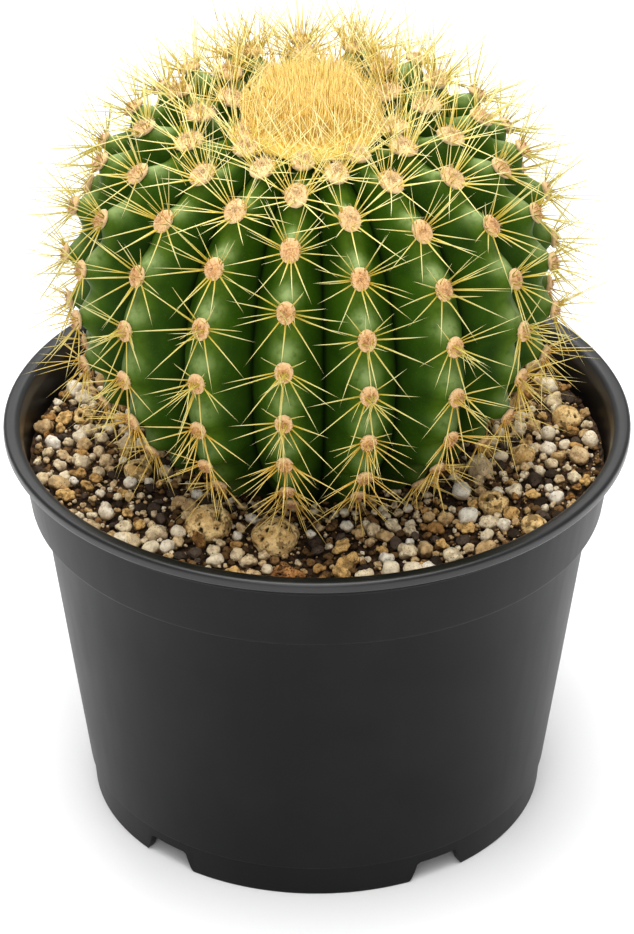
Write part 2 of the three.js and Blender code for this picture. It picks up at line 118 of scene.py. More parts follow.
class Value:
    """A socket that can be added, multiplied and so on."""

    def __init__(self, maker, socket):
        self.maker = maker
        self.socket = socket

    def __add__(self, other):
        return self.maker.math("ADD", self, other)

    def __sub__(self, other):
        return self.maker.math("SUBTRACT", self, other)

    def __rsub__(self, other):
        return self.maker.math("SUBTRACT", other, self)

    def __mul__(self, other):
        return self.maker.math("MULTIPLY", self, other)

    def __truediv__(self, other):
        return self.maker.math("DIVIDE", self, other)

    def __rtruediv__(self, other):
        return self.maker.math("DIVIDE", other, self)

    def __pow__(self, other):
        return self.maker.math("POWER", self, other)

    __radd__ = __add__
    __rmul__ = __mul__


class Maker:
    """Adds nodes to the tree of a material or of a rule."""

    def __init__(self, tree):
        self.tree = tree

    def node(self, kind, settings=None, sockets=None, out=0):
        made = self.tree.nodes.new(kind)
        for key, value in (settings or {}).items():
            setattr(made, key, value)
        for key, value in (sockets or {}).items():
            if isinstance(value, Value):
                self.tree.links.new(value.socket, made.inputs[key])
            else:
                made.inputs[key].default_value = value
        return Value(self, made.outputs[out])

    def math(self, operation, *values):
        return self.node("ShaderNodeMath", {"operation": operation}, dict(enumerate(values)))

    def ramp(self, value, low, high):
        """0 below low, 1 above high, with soft ends."""
        sockets = {0: value, 1: low, 2: high, 3: 0.0, 4: 1.0}
        return self.node("ShaderNodeMapRange", {"interpolation_type": "SMOOTHSTEP"}, sockets)

    def mix(self, share, first, second):
        """A colour between two, each a link or three numbers."""
        full = [c if isinstance(c, Value) else (*c, 1) for c in (first, second)]
        return self.node("ShaderNodeMix", {"data_type": "RGBA"}, {0: share, 6: full[0], 7: full[1]}, 2)

    def grain(self, size, detail=3.0, where=None, rough=0.55):
        """Noise whose lumps are about size millimetres."""
        sockets = {"Scale": 1 / (size * MM), "Detail": detail, "Roughness": rough}
        sockets["Vector"] = where or self.place()
        return self.node("ShaderNodeTexNoise", {}, sockets)

    def cells(self, size):
        sockets = {"Scale": 1 / (size * MM), "Vector": self.place()}
        return self.node("ShaderNodeTexVoronoi", {}, sockets)

    def place(self):
        return self.node("ShaderNodeTexCoord", out="Object")

    def read(self, name):
        return self.node("ShaderNodeAttribute", {"attribute_name": name}, out="Fac")

    def parts(self, vector):
        split = self.tree.nodes.new("ShaderNodeSeparateXYZ")
        self.tree.links.new(vector.socket, split.inputs[0])
        return [Value(self, output) for output in split.outputs]


def finish_of(name, rough, **uniform):
    """A material, its node maker and its shader. What is in uniform is the same all over."""
    made = bpy.data.materials.new(name)
    made.use_nodes = True
    shader = made.node_tree.nodes["Principled BSDF"]
    shader.inputs["Roughness"].default_value = rough
    for key, value in uniform.items():
        shader.inputs[key.replace("_", " ")].default_value = value
    return made, Maker(made.node_tree), shader


def feed(maker, shader, **links):
    for key, value in links.items():
        maker.tree.links.new(value.socket, shader.inputs[key.replace("_", " ")])


def bumped(maker, height, depth, strength=1.0):
    """A normal from a height between 0 and 1, and the depth in millimetres that 1 stands for."""
    return maker.node("ShaderNodeBump", {}, {"Height": height, "Distance": depth * MM, "Strength": strength})


# %% [markdown]
# ## Meshes from rows of points
# Most of the pieces are turned or wrapped: a row of points, repeated round an axis. One helper joins
# such rows with faces and closes both ends, and another keeps the result of a rule as a plain mesh.
# What repeats is made by a rule in Geometry Nodes, whose sizes are named inputs.

# %% Mesh helpers


def polar(radius, azimuth, height):
    """Points at a radius, an azimuth in degrees from the front, and a height."""
    turn = np.radians(azimuth)
    return np.stack(np.broadcast_arrays(radius * np.sin(turn), -radius * np.cos(turn), height), -1)


def add_piece(name, mesh):
    made = bpy.data.objects.new(name, mesh)
    bpy.context.scene.collection.objects.link(made)
    return made


def wrapped(name, rows, first, last):
    """A closed mesh from rows of points that run round an axis, between two end points."""
    count, around = rows.shape[:2]
    points = np.concatenate([rows.reshape(-1, 3), [first, last]]) * MM
    here = np.arange(around)
    after = (here + 1) % around
    faces = []
    for i in range(count - 1):
        low, high = i * around, (i + 1) * around
        faces += np.stack([low + here, high + here, high + after, low + after], 1).tolist()
    end = count * around
    faces += [[end, int(a), int(b)] for a, b in zip(here, after)]
    faces += [[end + 1, int(end - around + b), int(end - around + a)] for a, b in zip(here, after)]
    mesh = bpy.data.meshes.new(name)
    mesh.from_pydata(points.tolist(), [], faces)
    return mesh


def faces_out(mesh, sharp=None):
    """Turns the faces outwards and shades them smooth, but for edges over sharp degrees."""
    work = bmesh.new()
    work.from_mesh(mesh)
    bmesh.ops.recalc_face_normals(work, faces=work.faces)
    work.to_mesh(mesh)
    work.free()
    mesh.shade_smooth()
    if sharp is not None:
        mesh.set_sharp_from_angle(angle=math.radians(sharp))


def write_attribute(mesh, name, values):
    values = np.asarray(values, np.float32)
    kind = "FLOAT_VECTOR" if values.ndim == 2 else "FLOAT"
    made = mesh.attributes.new(name, kind, "POINT")
    made.data.foreach_set("vector" if values.ndim == 2 else "value", values.ravel())


def point_cloud(name, places, **attributes):
    """A mesh of bare points, in millimetres, with what each one is to carry."""
    mesh = bpy.data.meshes.new(name)
    mesh.from_pydata((np.asarray(places) * MM).tolist(), [], [])
    for key, values in attributes.items():
        write_attribute(mesh, key, values)
    return mesh


def kept_mesh(obj):
    """Replaces an object's mesh with what its modifiers make of it, and removes them."""
    graph = bpy.context.evaluated_depsgraph_get()
    mesh = bpy.data.meshes.new_from_object(
        obj.evaluated_get(graph), preserve_all_data_layers=True, depsgraph=graph
    )
    obj.modifiers.clear()
    obj.data = mesh
    return obj


def triangles(obj):
    return sum(len(face.vertices) - 2 for face in obj.data.polygons)


def settle(obj, slot, *nodes):
    """The last step of each piece: it rides on the one body and stands for its solids."""
    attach(obj, "root")
    if nodes:
        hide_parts(*nodes)
    print(obj.name, triangles(obj), "triangles")


# %% Rules in Geometry Nodes


class Rule(Maker):
    """A Geometry Nodes tree with named inputs. geometry is what has been made so far."""

    def __init__(self, name):
        super().__init__(bpy.data.node_groups.new(name, "GeometryNodeTree"))
        face = self.tree.interface
        face.new_socket("Geometry", in_out="INPUT", socket_type="NodeSocketGeometry")
        face.new_socket("Geometry", in_out="OUTPUT", socket_type="NodeSocketGeometry")
        self.given = self.tree.nodes.new("NodeGroupInput")
        self.identifiers = {}
        self.geometry = Value(self, self.given.outputs["Geometry"])

    def input(self, name, kind="Float", value=None):
        made = self.tree.interface.new_socket(name, in_out="INPUT", socket_type=f"NodeSocket{kind}")
        if value is not None:
            made.default_value = value
        self.identifiers[name] = made.identifier
        return Value(self, self.given.outputs[name])

    def named(self, name, kind="FLOAT"):
        return self.node("GeometryNodeInputNamedAttribute", {"data_type": kind}, {"Name": name})

    def place(self):
        return self.node("GeometryNodeInputPosition")

    def vector(self, operation, *values, **named):
        sockets = {**dict(enumerate(values)), **named}
        return self.node("ShaderNodeVectorMath", {"operation": operation}, sockets)

    def longer(self, vector, factor):
        return self.vector("SCALE", vector, Scale=factor)

    def joined(self, x, y, z):
        return self.node("ShaderNodeCombineXYZ", {}, {0: x, 1: y, 2: z})

    def then(self, kind, settings=None, **sockets):
        """Passes the geometry through one more node."""
        sockets = {key.replace("_", " "): value for key, value in sockets.items()}
        self.geometry = self.node(kind, settings, {0: self.geometry, **sockets})

    def store(self, name, value):
        settings = {"data_type": "FLOAT", "domain": "POINT"}
        self.then("GeometryNodeStoreNamedAttribute", settings, Name=name, Value=value)

    def push(self, amount):
        """Moves every point out along its normal."""
        normal = self.node("GeometryNodeInputNormal")
        self.then("GeometryNodeSetPosition", Offset=self.longer(normal, amount))

    def close(self, material):
        """Every rule ends so: real faces, shaded smooth, with their finish."""
        self.then("GeometryNodeRealizeInstances")
        self.then("GeometryNodeSetShadeSmooth")
        self.then("GeometryNodeSetMaterial", Material=material)
        out = self.tree.nodes.new("NodeGroupOutput")
        self.tree.links.new(self.geometry.socket, out.inputs[0])

    def run(self, name, mesh, **inputs):
        """A plain piece: the rule run on a mesh with these values for its named inputs."""
        made = add_piece(name, mesh)
        modifier = made.modifiers.new(name, "NODES")
        modifier.node_group = self.tree
        for key, value in inputs.items():
            modifier[self.identifiers[key.replace("_", " ")]] = value
        return kept_mesh(made)


# %% [markdown]
# ## Pot
# The pot is one injection moulding: a rolled lip, a wider band under it, a tapered wall and a foot ring
# with five notches and five drain holes. A turned profile gives all of it but the openings, which are
# cut. Its corners are rounded in the profile, because a moulding has no knife edges and each rounding
# draws a thin line of light.

# %% Pot shape
POT_SIDES = 192
POT_RUN = 16.0
POT_SHARP = 40
FOOT_INSIDE = 55.0
FLOOR_FLAT = 50.0
POT_OUTSIDE = [  # radius, height, rounding
    (55.0, 0.0, 0.3), (57.1, 0.0, 0.5), (57.85, 8.5, 0.1), (58.35, 8.8, 0.25), (68.3, 82.9, 0.5),
    (71.2, 83.6, 0.8), (73.5, 99.4, 0.3), (74.6, 100.1, 0.3), (74.7, 101.5, 0.3), (77.4, 102.5, 0.35),
    (77.5, 104.95, 1.3), (74.6, 105.0, 0.6), (73.4, 104.3, 0.5),
]
POT_INSIDE = [(72.6, 101.6, 0.4), (70.1, 84.7, 0.5), (67.1, 82.3, 0.5), (56.6, 7.4, 0.8)]
FLOOR_UNDER = 6.0
FLOOR_TOP = 7.4
NOTCHES = {"count": 5, "first": -40.5, "inner": 50.0, "outer": 61.0}
NOTCH_OUTLINE = [(8.2, -1.0), (7.8, 0.0), (7.0, 1.2), (6.3, 3.2), (5.8, 5.1), (5.0, 5.7)]
DRAINS = {"count": 5, "first": -4.5, "radius": 5.0, "ring": 38.0, "sides": 32, "low": 3.0, "high": 9.0}
ARC_STEPS = 4
MOST_OF_A_SIDE = 0.45


def rounded(profile):
    """The profile with each corner that has a rounding cut back to a short arc."""
    out = []
    for i, (r, z, radius) in enumerate(profile):
        here = np.array([r, z])
        if radius == 0 or i in (0, len(profile) - 1):
            out.append(here)
            continue
        before = np.array(profile[i - 1][:2]) - here
        after = np.array(profile[i + 1][:2]) - here
        shorter = min(np.linalg.norm(before), np.linalg.norm(after))
        reach = min(radius, MOST_OF_A_SIDE * shorter)
        start = here + before / np.linalg.norm(before) * reach
        end = here + after / np.linalg.norm(after) * reach
        for step in range(ARC_STEPS + 1):
            t = step / ARC_STEPS
            out.append((1 - t) ** 2 * start + 2 * t * (1 - t) * here + t**2 * end)
    return np.array(out)


def with_rows(profile, longest):
    """The profile with long straight runs cut up, so that no face is much longer than longest."""
    out = [profile[0]]
    for here in profile[1:]:
        steps = max(1, math.ceil(np.linalg.norm(here - out[-1]) / longest))
        start = out[-1]
        out += [start + (here - start) * k / steps for k in range(1, steps + 1)]
    return np.array(out)


def turned(name, profile, sides, first, last):
    azimuths = np.arange(sides) * 360 / sides
    rows = np.array([polar(r, azimuths, z) for r, z in profile])
    return wrapped(name, rows, (0, 0, first), (0, 0, last))


def notch_rows(azimuth):
    """The two ends of a short prism through the foot ring, narrower at its top."""
    outline = NOTCH_OUTLINE + [(-x, z) for x, z in reversed(NOTCH_OUTLINE)]
    ends = (NOTCHES["inner"], NOTCHES["outer"])
    rows = np.array([[(x, -y, z) for x, z in outline] for y in ends])
    c, s = math.cos(math.radians(azimuth)), math.sin(math.radians(azimuth))
    return rows @ np.array([[c, s, 0], [-s, c, 0], [0, 0, 1]])


def drain_rows(azimuth):
    """The two ends of an upright cylinder through the floor."""
    centre = polar(DRAINS["ring"], azimuth, 0)
    turns = np.arange(DRAINS["sides"]) * 360 / DRAINS["sides"]
    ends = (DRAINS["low"], DRAINS["high"])
    return np.array([centre + polar(DRAINS["radius"], turns, z) for z in ends])


def evenly(facts):
    """The azimuths of openings that lie evenly round the pot."""
    return [facts["first"] + 360 / facts["count"] * i for i in range(facts["count"])]


def build_pot():
    corners = [(FOOT_INSIDE, FLOOR_UNDER, 0.3), *POT_OUTSIDE, *POT_INSIDE, (FLOOR_FLAT, FLOOR_TOP, 0)]
    profile = with_rows(rounded([(FLOOR_FLAT, FLOOR_UNDER, 0), *corners]), POT_RUN)
    pot = add_piece("pot_moulding", turned("pot_moulding", profile, POT_SIDES, FLOOR_UNDER, FLOOR_TOP))
    faces_out(pot.data)
    openings = [notch_rows(azimuth) for azimuth in evenly(NOTCHES)]
    openings += [drain_rows(azimuth) for azimuth in evenly(DRAINS)]
    for rows in openings:
        mesh = wrapped("cutter", rows, rows[0].mean(0), rows[1].mean(0))
        faces_out(mesh)
        cutter = add_piece("cutter", mesh)
        cut = pot.modifiers.new("cut", "BOOLEAN")
        cut.operation = "DIFFERENCE"
        cut.solver = "MANIFOLD"
        cut.object = cutter
        kept_mesh(pot)
        bpy.data.objects.remove(cutter)
    pot.data.shade_smooth()
    pot.data.set_sharp_from_angle(angle=math.radians(POT_SHARP))
    return pot


pot = build_pot()

# %% [markdown]
# Black nursery plastic is satin, not glossy: the mould leaves a fine grain that blurs what it mirrors.
# The sides look paler only because plastic mirrors more at a low angle, which the shader does by itself.
# The lip is polished by handling, so a thin coat over it alone draws the bright line round the rim.

# %% Pot finish


def plastic_finish():
    made, m, shader = finish_of(
        "satin_black_plastic", 0.42, Specular_IOR_Level=0.135, Coat_Roughness=0.36
    )
    haze = m.grain(24, 4)
    fine = m.grain(0.35, 2)
    streaks = m.node("ShaderNodeMapping", {}, {"Vector": m.place(), "Scale": (1, 1, 0.12)})
    drawn = m.grain(3.5, 3, streaks)
    colour = m.mix(m.ramp(haze, 0.35, 0.7), (0.0022, 0.00225, 0.0023), (0.0046, 0.0047, 0.0048))
    rough = 0.38 + 0.1 * haze + 0.08 * (drawn - 0.5)
    grain = bumped(m, 0.6 * fine + 0.4 * drawn, 0.02, 0.5)
    handled = m.ramp(m.parts(m.place())[2], 100.5 * MM, 102.5 * MM)
    feed(m, shader, Base_Color=colour, Roughness=rough, Coat_Weight=handled * 0.8, Normal=grain)
    return made


pot.data.materials.clear()
pot.data.materials.append(plastic_finish())
settle(pot, "pot_plastic", "pot")

# %% [markdown]
# ## Ribbed skin
# A barrel cactus is a folded sack: seventeen ribs whose crests follow one curve from the sunken apex
# over the shoulder to the root. The skin starts as that curve turned round the axis, each point knowing
# which rib and which areole it is next to, and a rule then presses the furrows in and swells the crests.

# %% Plant measures
PLANT_PLACE = np.array([-1.2, 0.0, 95.0])
PLANT_LEAN = math.radians(6)
CREST = np.array([  # radius, height above the soil line
    (0, 87.8), (8, 92.4), (16, 95.8), (24, 96.9), (32, 95.8), (40, 92.2), (47, 85.9), (52.4, 78),
    (56.2, 68), (57.8, 54), (56.6, 42.2), (53.5, 32), (47.8, 23.5), (39, 13), (31, 6.8), (25.5, 2),
    (21.5, -4), (17, -11), (9, -20), (0, -26),
])
RIBS = 17
RIB_PHASE = -6.6
RIB_DRIFT = [0.3, -1.6, -1.1, 0.4, 0, 0, 0, 0, 0, 0, 0, 0, 0, 0, 0, 0.8, 0.9]
FURROW = np.array([  # arc length from the apex, depth
    (0, 0), (12, 1.2), (27, 5), (48, 8), (70, 9.2), (95, 9), (115, 7), (132, 4), (146, 2.2), (158, 0),
])
PITCH = 13.9
CROWDING = 0.04
MIDDLE = 61.4
CREST_STEPS = 60


def crest_table():
    """Arc length, radius and height along the crest, in fine steps."""
    padded = np.concatenate([CREST[:1], CREST, CREST[-1:]])
    t = np.linspace(0, 1, CREST_STEPS, endpoint=False)[:, None]
    runs = []
    for i in range(len(CREST) - 1):
        before, here, there, after = padded[i : i + 4]
        leave, arrive = (there - before) / 2, (after - here) / 2
        bend = 2 * (here - there) + leave + arrive
        swing = 3 * (there - here) - 2 * leave - arrive
        runs.append(bend * t**3 + swing * t**2 + leave * t + here)
    line = np.concatenate([*runs, CREST[-1:]])
    steps = np.linalg.norm(np.diff(line, axis=0), axis=1)
    return np.concatenate([[0], np.cumsum(steps)]), line[:, 0], line[:, 1]


ARCS, RADII, HEIGHTS = crest_table()
CREST_LENGTH = ARCS[-1]


def crest_at(arc):
    """Radius, height, and the normal's two parts at an arc length from the apex."""
    low, high = np.clip(arc - 0.5, 0, CREST_LENGTH), np.clip(arc + 0.5, 0, CREST_LENGTH)
    dr = np.interp(high, ARCS, RADII) - np.interp(low, ARCS, RADII)
    dz = np.interp(high, ARCS, HEIGHTS) - np.interp(low, ARCS, HEIGHTS)
    size = np.hypot(dr, dz)
    return np.interp(arc, ARCS, RADII), np.interp(arc, ARCS, HEIGHTS), -dz / size, dr / size


def leaned(vectors):
    """Turns directions from the plant's own axis to its lean in the pot."""
    x, y, z = np.moveaxis(np.asarray(vectors, float), -1, 0)
    c, s = math.cos(PLANT_LEAN), math.sin(PLANT_LEAN)
    return np.stack([x, y * c - z * s, y * s + z * c], -1)


def in_pot(points):
    return leaned(points) + PLANT_PLACE


def rib_azimuth(turns):
    """Azimuth of a place counted in ribs. No plant has all its ribs quite evenly apart."""
    drift = np.interp(turns, np.arange(RIBS + 1), RIB_DRIFT + RIB_DRIFT[:1])
    return RIB_PHASE + turns * 360 / RIBS + drift


def areole_shift(rib):
    """Neighbouring ribs have their areoles half a pitch apart, and the stagger drifts at the left."""
    from_front = np.where(rib > 5, rib - RIBS, rib)
    half = np.where(np.abs(from_front) % 2 == 1, 0.5, 0.0)
    drift = 0.5 * smooth((-1 - from_front) / 3)
    back = 0.15 * smooth((np.abs(from_front) - 3) / 2)
    return (half + drift + back) % 1


def smooth(t):
    t = np.clip(t, 0, 1)
    return t * t * (3 - 2 * t)


def areole_arc(pitches):
    return MIDDLE + PITCH * pitches - CROWDING * pitches**3


def pitches_at(arc):
    steps = np.linspace(-6, 8, 400)
    return np.interp(arc, areole_arc(steps), steps)


print("crest", round(CREST_LENGTH, 1), "mm long")

# %% Skin rule
COLUMNS_PER_RIB = 18
COLUMNS = RIBS * COLUMNS_PER_RIB
SKIN_SHARP = 60
SKIN_ROWS = np.concatenate([np.linspace(1.5, 152, 168), np.linspace(155, 176, 8)])


def smooth_skin():
    """The crest turned round the plant's axis, with what the rule needs at each point."""
    turns = np.arange(COLUMNS) * RIBS / COLUMNS
    azimuths = rib_azimuth(turns)
    r, z, nr, nz = crest_at(SKIN_ROWS)
    rows = in_pot(polar(r[:, None], azimuths[None], z[:, None]))
    tip_top, tip_root = in_pot([[0, 0, CREST[0][1]], [0, 0, CREST[-1][1]]])
    mesh = wrapped("cactus_skin", rows, tip_top, tip_root)
    out = leaned(polar(nr[:, None], azimuths[None], nz[:, None]))
    rib = np.round(turns).astype(int) % RIBS
    pitches = pitches_at(SKIN_ROWS)[:, None] - areole_shift(rib)[None]
    arcs = np.repeat(SKIN_ROWS[:, None], COLUMNS, 1)
    spread = np.interp(arcs, FURROW[:, 0], FURROW[:, 1])
    ends = [0.0, 0.0]
    write_attribute(mesh, "out", np.concatenate([out.reshape(-1, 3), [(0, 0, 1), (0, 0, -1)]]))
    write_attribute(mesh, "rib_turn", np.concatenate([np.tile(turns, len(SKIN_ROWS)), ends]))
    write_attribute(mesh, "pitches", np.concatenate([pitches.ravel(), ends]))
    write_attribute(mesh, "arc", np.concatenate([arcs.ravel(), [0, CREST_LENGTH]]))
    write_attribute(mesh, "furrow", np.concatenate([spread.ravel() * MM, ends]))
    return mesh


AREOLE_SWELL = 1.5
SWELL_FROM = 14.0
SWELL_UNTIL = 128.0
SWELL_RUN = 12.0


def rib_rule(material):
    """Presses the furrows in, swells the crest at each areole and adds a little unevenness."""
    rule = Rule("ribs")
    flatness = rule.input("Flank flatness", value=0.4)
    swell = rule.input("Areole swell", value=AREOLE_SWELL * MM)
    dip = rule.input("Crest dip", value=1.6 * MM)
    width = rule.input("Hump width", value=0.5)
    wave = rule.input("Unevenness", value=0.4 * MM)
    part = rule.math("FRACT", rule.named("rib_turn"))
    bowed = 1 - rule.math("ABSOLUTE", rule.math("COSINE", part * math.pi))
    straight = 1 - rule.math("ABSOLUTE", 1 - 2 * part)
    share = bowed + flatness * (straight - bowed)
    count = rule.math("FRACT", rule.named("pitches") + 100)
    beat = rule.math("COSINE", (count ** 0.85) * 2 * math.pi) * 0.5 + 0.5
    shoulder = 1 + 0.3 * rule.math("COSINE", (count - 0.75) * 2 * math.pi)
    off_crest = straight / (width * shoulder)
    near_crest = rule.math("EXPONENT", 0 - off_crest * off_crest)
    arc = rule.named("arc")
    there = rule.ramp(arc, SWELL_FROM, SWELL_FROM + SWELL_RUN)
    there *= 1 - rule.ramp(arc, SWELL_UNTIL, SWELL_UNTIL + SWELL_RUN)
    crest = near_crest * there * (beat * (swell + dip) - dip)
    lumps = (rule.grain(9, 2) - 0.5) * wave * there
    depth = rule.named("furrow")
    creases = (rule.grain(3.5, 2) - 0.5) * depth * 0.12 * straight
    raised = crest + lumps + creases - depth * share
    rule.then("GeometryNodeSetPosition", Offset=rule.longer(rule.named("out", "FLOAT_VECTOR"), raised))
    above = (count - 0.7) / 0.17
    rule.store("furrow_share", share)
    # sheen marks the slope just above each areole, where the skin gets a painted highlight and a thin coat.
    rule.store("sheen", rule.math("EXPONENT", 0 - above * above - 7 * off_crest * off_crest) * there)
    rule.close(material)
    return rule


# %% [markdown]
# The skin is waxy and dark green. It is palest along the crests, where light and age thin the colour.
# Painted shade darkens each flank towards its furrow, to almost black at the bottom, and darkens the
# skin low on the plant. A painted grey-green highlight lies on the slope just above each areole, and
# tiny pale dots, the pores, are scattered all over.

# %% Skin finish


def skin_finish():
    made, m, shader = finish_of("cactus_skin", 0.5, Specular_IOR_Level=0.04, Coat_Roughness=0.34)
    share = m.read("furrow_share")
    sheen = m.read("sheen")
    arc = m.read("arc")
    blotch = m.grain(11, 4)
    mottle = m.grain(2.0, 4)
    flank = m.mix(m.ramp(blotch, 0.3, 0.7), (0.0115, 0.034, 0.0008), (0.024, 0.064, 0.0015))
    crest = m.mix(m.ramp(mottle, 0.25, 0.75), (0.046, 0.096, 0.004), (0.074, 0.138, 0.008))
    body = m.mix(m.ramp(share, 0.0, 0.42), crest, flank)
    # Painted highlight: a pale grey-green sheen on the slope above each areole, weaker lower down.
    painted_sheen = sheen * m.ramp(mottle, 0.1, 0.6) * (1.0 - 0.7 * m.ramp(arc, 50.0, 120.0))
    with_painted_sheen = m.mix(painted_sheen, body, (0.27, 0.36, 0.13))
    # Painted shade: the skin darkens towards the bottom, under the plant's bulge.
    low = m.ramp(arc, 85.0, 145.0) * 0.8
    shaded = m.mix(low, with_painted_sheen, (0.006, 0.02, 0.002))
    pores = 1 - m.ramp(m.cells(0.55), 0.1, 0.24)
    dotted = m.mix(pores * 0.14, shaded, (0.16, 0.26, 0.05))
    # Painted shade: each flank darkens towards its furrow, and the bottom of the furrow is almost black.
    flank_shaded = m.mix(m.ramp(share, 0.4, 0.95) * 0.6, dotted, (0.006, 0.019, 0.0006))
    furrow_shaded = m.mix(m.ramp(share, 0.84, 1.0) * 0.85, flank_shaded, (0.0015, 0.005, 0.0004))
    rough = 0.4 + 0.2 * mottle + 0.15 * share
    height = m.grain(1.1, 3) + 0.3 * pores
    gloss = 0.02 + 0.16 * sheen
    feed(m, shader, Base_Color=furrow_shaded, Roughness=rough, Coat_Weight=gloss * (1 - m.ramp(share, 0.3, 0.8)))
    feed(m, shader, Normal=bumped(m, height, 0.06, 0.6))
    return made


skin = rib_rule(skin_finish()).run("cactus_skin", smooth_skin())
faces_out(skin.data, SKIN_SHARP)
settle(skin, "cactus", "cactus")

# %% [markdown]
# ## Areoles
# An areole is a felted cushion on a crest, from which the spines grow. There is one about every 14 mm along
# each rib. They are large, pale and oval near the crown and small and orange lower down. Each cushion is
# a lumpy button, and short hairs make its edge soft.

# %% Where the areoles are
FIRST_ARC = 18.5
LAST_ARC = 127.0
GROWN_FROM = 22
GROWN_RUN = 40
OLD_FROM = 70
OLD_RUN = 55
PAD_WIDTH = 4.5
YOUNG_WIDER = 1.4
OLD_NARROWER = 0.7
PAD_LONG = 1.22
YOUNG_LONGER = 0.08
rng = np.random.default_rng(41)


def find_areoles():
    """Rows of: arc length, azimuth."""
    found = []
    for rib in range(RIBS):
        for step in range(-5, 8):
            arc = areole_arc(step + float(areole_shift(np.array(rib))))
            if FIRST_ARC < arc < LAST_ARC:
                found.append((arc, rib_azimuth(rib)))
    return np.array(found)


areoles = find_areoles()
areole_arcs, areole_turns = areoles.T
crest_r, crest_z, normal_r, normal_z = crest_at(areole_arcs)
areole_fade = smooth((areole_arcs - SWELL_FROM) / SWELL_RUN)
areole_fade *= 1 - smooth((areole_arcs - SWELL_UNTIL) / SWELL_RUN)
raise_by = AREOLE_SWELL * areole_fade
areole_out = leaned(polar(normal_r, areole_turns, normal_z))
areole_up = leaned(polar(-normal_z, areole_turns, normal_r))
areole_side = np.cross(areole_up, areole_out)
areole_place = in_pot(polar(crest_r, areole_turns, crest_z)) + areole_out * raise_by[:, None]
young = 1 - smooth((areole_arcs - GROWN_FROM) / GROWN_RUN)
old = smooth((areole_arcs - OLD_FROM) / OLD_RUN)
pad_width = PAD_WIDTH + YOUNG_WIDER * young - OLD_NARROWER * old
pad_long = PAD_LONG + YOUNG_LONGER * young
print(len(areoles), "areoles")

# %% Areole cushions


def cushion_rule(material):
    """Lays a lumpy button on each point, its long axis up the rib."""
    rule = Rule("cushions")
    lump = rule.input("Lump size", value=0.7)
    depth = rule.input("Lump depth", value=0.28 * MM)
    base = rule.geometry
    rule.geometry = rule.node("GeometryNodeMeshIcoSphere", {}, {"Radius": 1.0, "Subdivisions": 3})
    x, y, _ = rule.parts(rule.place())
    rule.store("rim", (x * x + y * y) ** 0.5)
    ball, rule.geometry = rule.geometry, base
    out, up = (rule.named(name, "FLOAT_VECTOR") for name in ("out", "up"))
    settings = {"primary_axis": "Z", "secondary_axis": "Y"}
    turn = rule.node("FunctionNodeAxesToRotation", settings, {0: out, 1: up})
    size = rule.named("size", "FLOAT_VECTOR")
    rule.then("GeometryNodeInstanceOnPoints", Instance=ball, Rotation=turn, Scale=size)
    rule.then("GeometryNodeRealizeInstances")
    where = rule.longer(rule.place(), 1 / lump)
    coarse = rule.node("ShaderNodeTexNoise", {}, {"Vector": where, "Scale": 1 / MM, "Detail": 2.0})
    rule.push((coarse - 0.5) * 2 * depth)
    rule.close(material)
    return rule


def felt_finish():
    """Cream on young cushions, peach on grown ones and orange brown on old ones: age runs from -1 to 1."""
    made, m, shader = finish_of("areole_felt", 0.9, Sheen_Weight=0.25, Specular_IOR_Level=0.15)
    age = m.read("age")
    speck = m.ramp(m.grain(0.5, 3), 0.3, 0.7)
    fresh = m.mix(speck, (0.76, 0.52, 0.24), (0.84, 0.66, 0.37))
    grown = m.mix(speck, (0.52, 0.25, 0.085), (0.76, 0.48, 0.23))
    worn = m.mix(speck, (0.42, 0.18, 0.045), (0.78, 0.44, 0.16))
    aged = m.mix(m.ramp(age, 0.0, 1.0), grown, worn)
    coloured = m.mix(m.ramp(age, -1.0, -0.1), fresh, aged)
    felt = m.mix(m.ramp(m.read("rim"), 0.5, 0.95) * 0.6, coloured, (0.8, 0.56, 0.3))
    feed(m, shader, Base_Color=felt, Normal=bumped(m, m.grain(0.25, 2), 0.12))
    return made


felt = felt_finish()
age = old - young
button = np.stack([pad_width / 2, pad_width / 2 * pad_long, 0.24 * pad_width], -1) * MM
points = point_cloud(
    "areole_cushions", areole_place, out=areole_out, up=areole_up, size=button, age=age
)
cushions = cushion_rule(felt).run("areole_cushions", points)
settle(cushions, "cactus")

# %% [markdown]
# ## Spines, wool and hairs
# Spines, wool and felt hairs have one form: a thin rod that thins to a point and bends a little. One rule
# makes them all. It takes bare points that carry a direction, a length, a thickness and a bend, and sets
# a rod on each. The spines of an areole keep a pattern: short ones up the rib, longer ones to the sides
# and down, and steep ones that stand well out.

# %% Needle rule


def needle_rule(name, material):
    rule = Rule(name)
    sides = rule.input("Sides", "Int", 5)
    segments = rule.input("Segments", "Int", 4)
    tip = rule.input("Tip share", value=0.12)
    fullness = rule.input("Fullness", value=1.6)
    sockets = {"Vertices": sides, "Side Segments": segments, "Depth": 1.0}
    sockets |= {"Radius Top": 0.0, "Radius Bottom": 1.0}
    rod = rule.node("GeometryNodeMeshCone", {"fill_type": "NGON"}, sockets)
    base = rule.geometry
    rule.geometry = rod
    x, y, z = rule.parts(rule.place())
    rule.store("along", z)
    width = (1 - (z ** fullness) * (1 - tip)) / (1 - z)
    rule.then("GeometryNodeSetPosition", Position=rule.joined(x * width, y * width, z))
    rod = rule.geometry
    way = rule.named("way", "FLOAT_VECTOR")
    turn = rule.node("FunctionNodeAlignRotationToVector", {"axis": "Z"}, {"Vector": way})
    thick, reach = rule.named("thick"), rule.named("reach")
    size = rule.joined(thick, thick, reach)
    rule.geometry = base
    rule.then("GeometryNodeInstanceOnPoints", Instance=rod, Rotation=turn, Scale=size)
    rule.then("GeometryNodeRealizeInstances")
    along = rule.named("along")
    bend = rule.longer(rule.named("bend", "FLOAT_VECTOR"), along * along)
    rule.then("GeometryNodeSetPosition", Offset=bend)
    rule.close(material)
    return rule


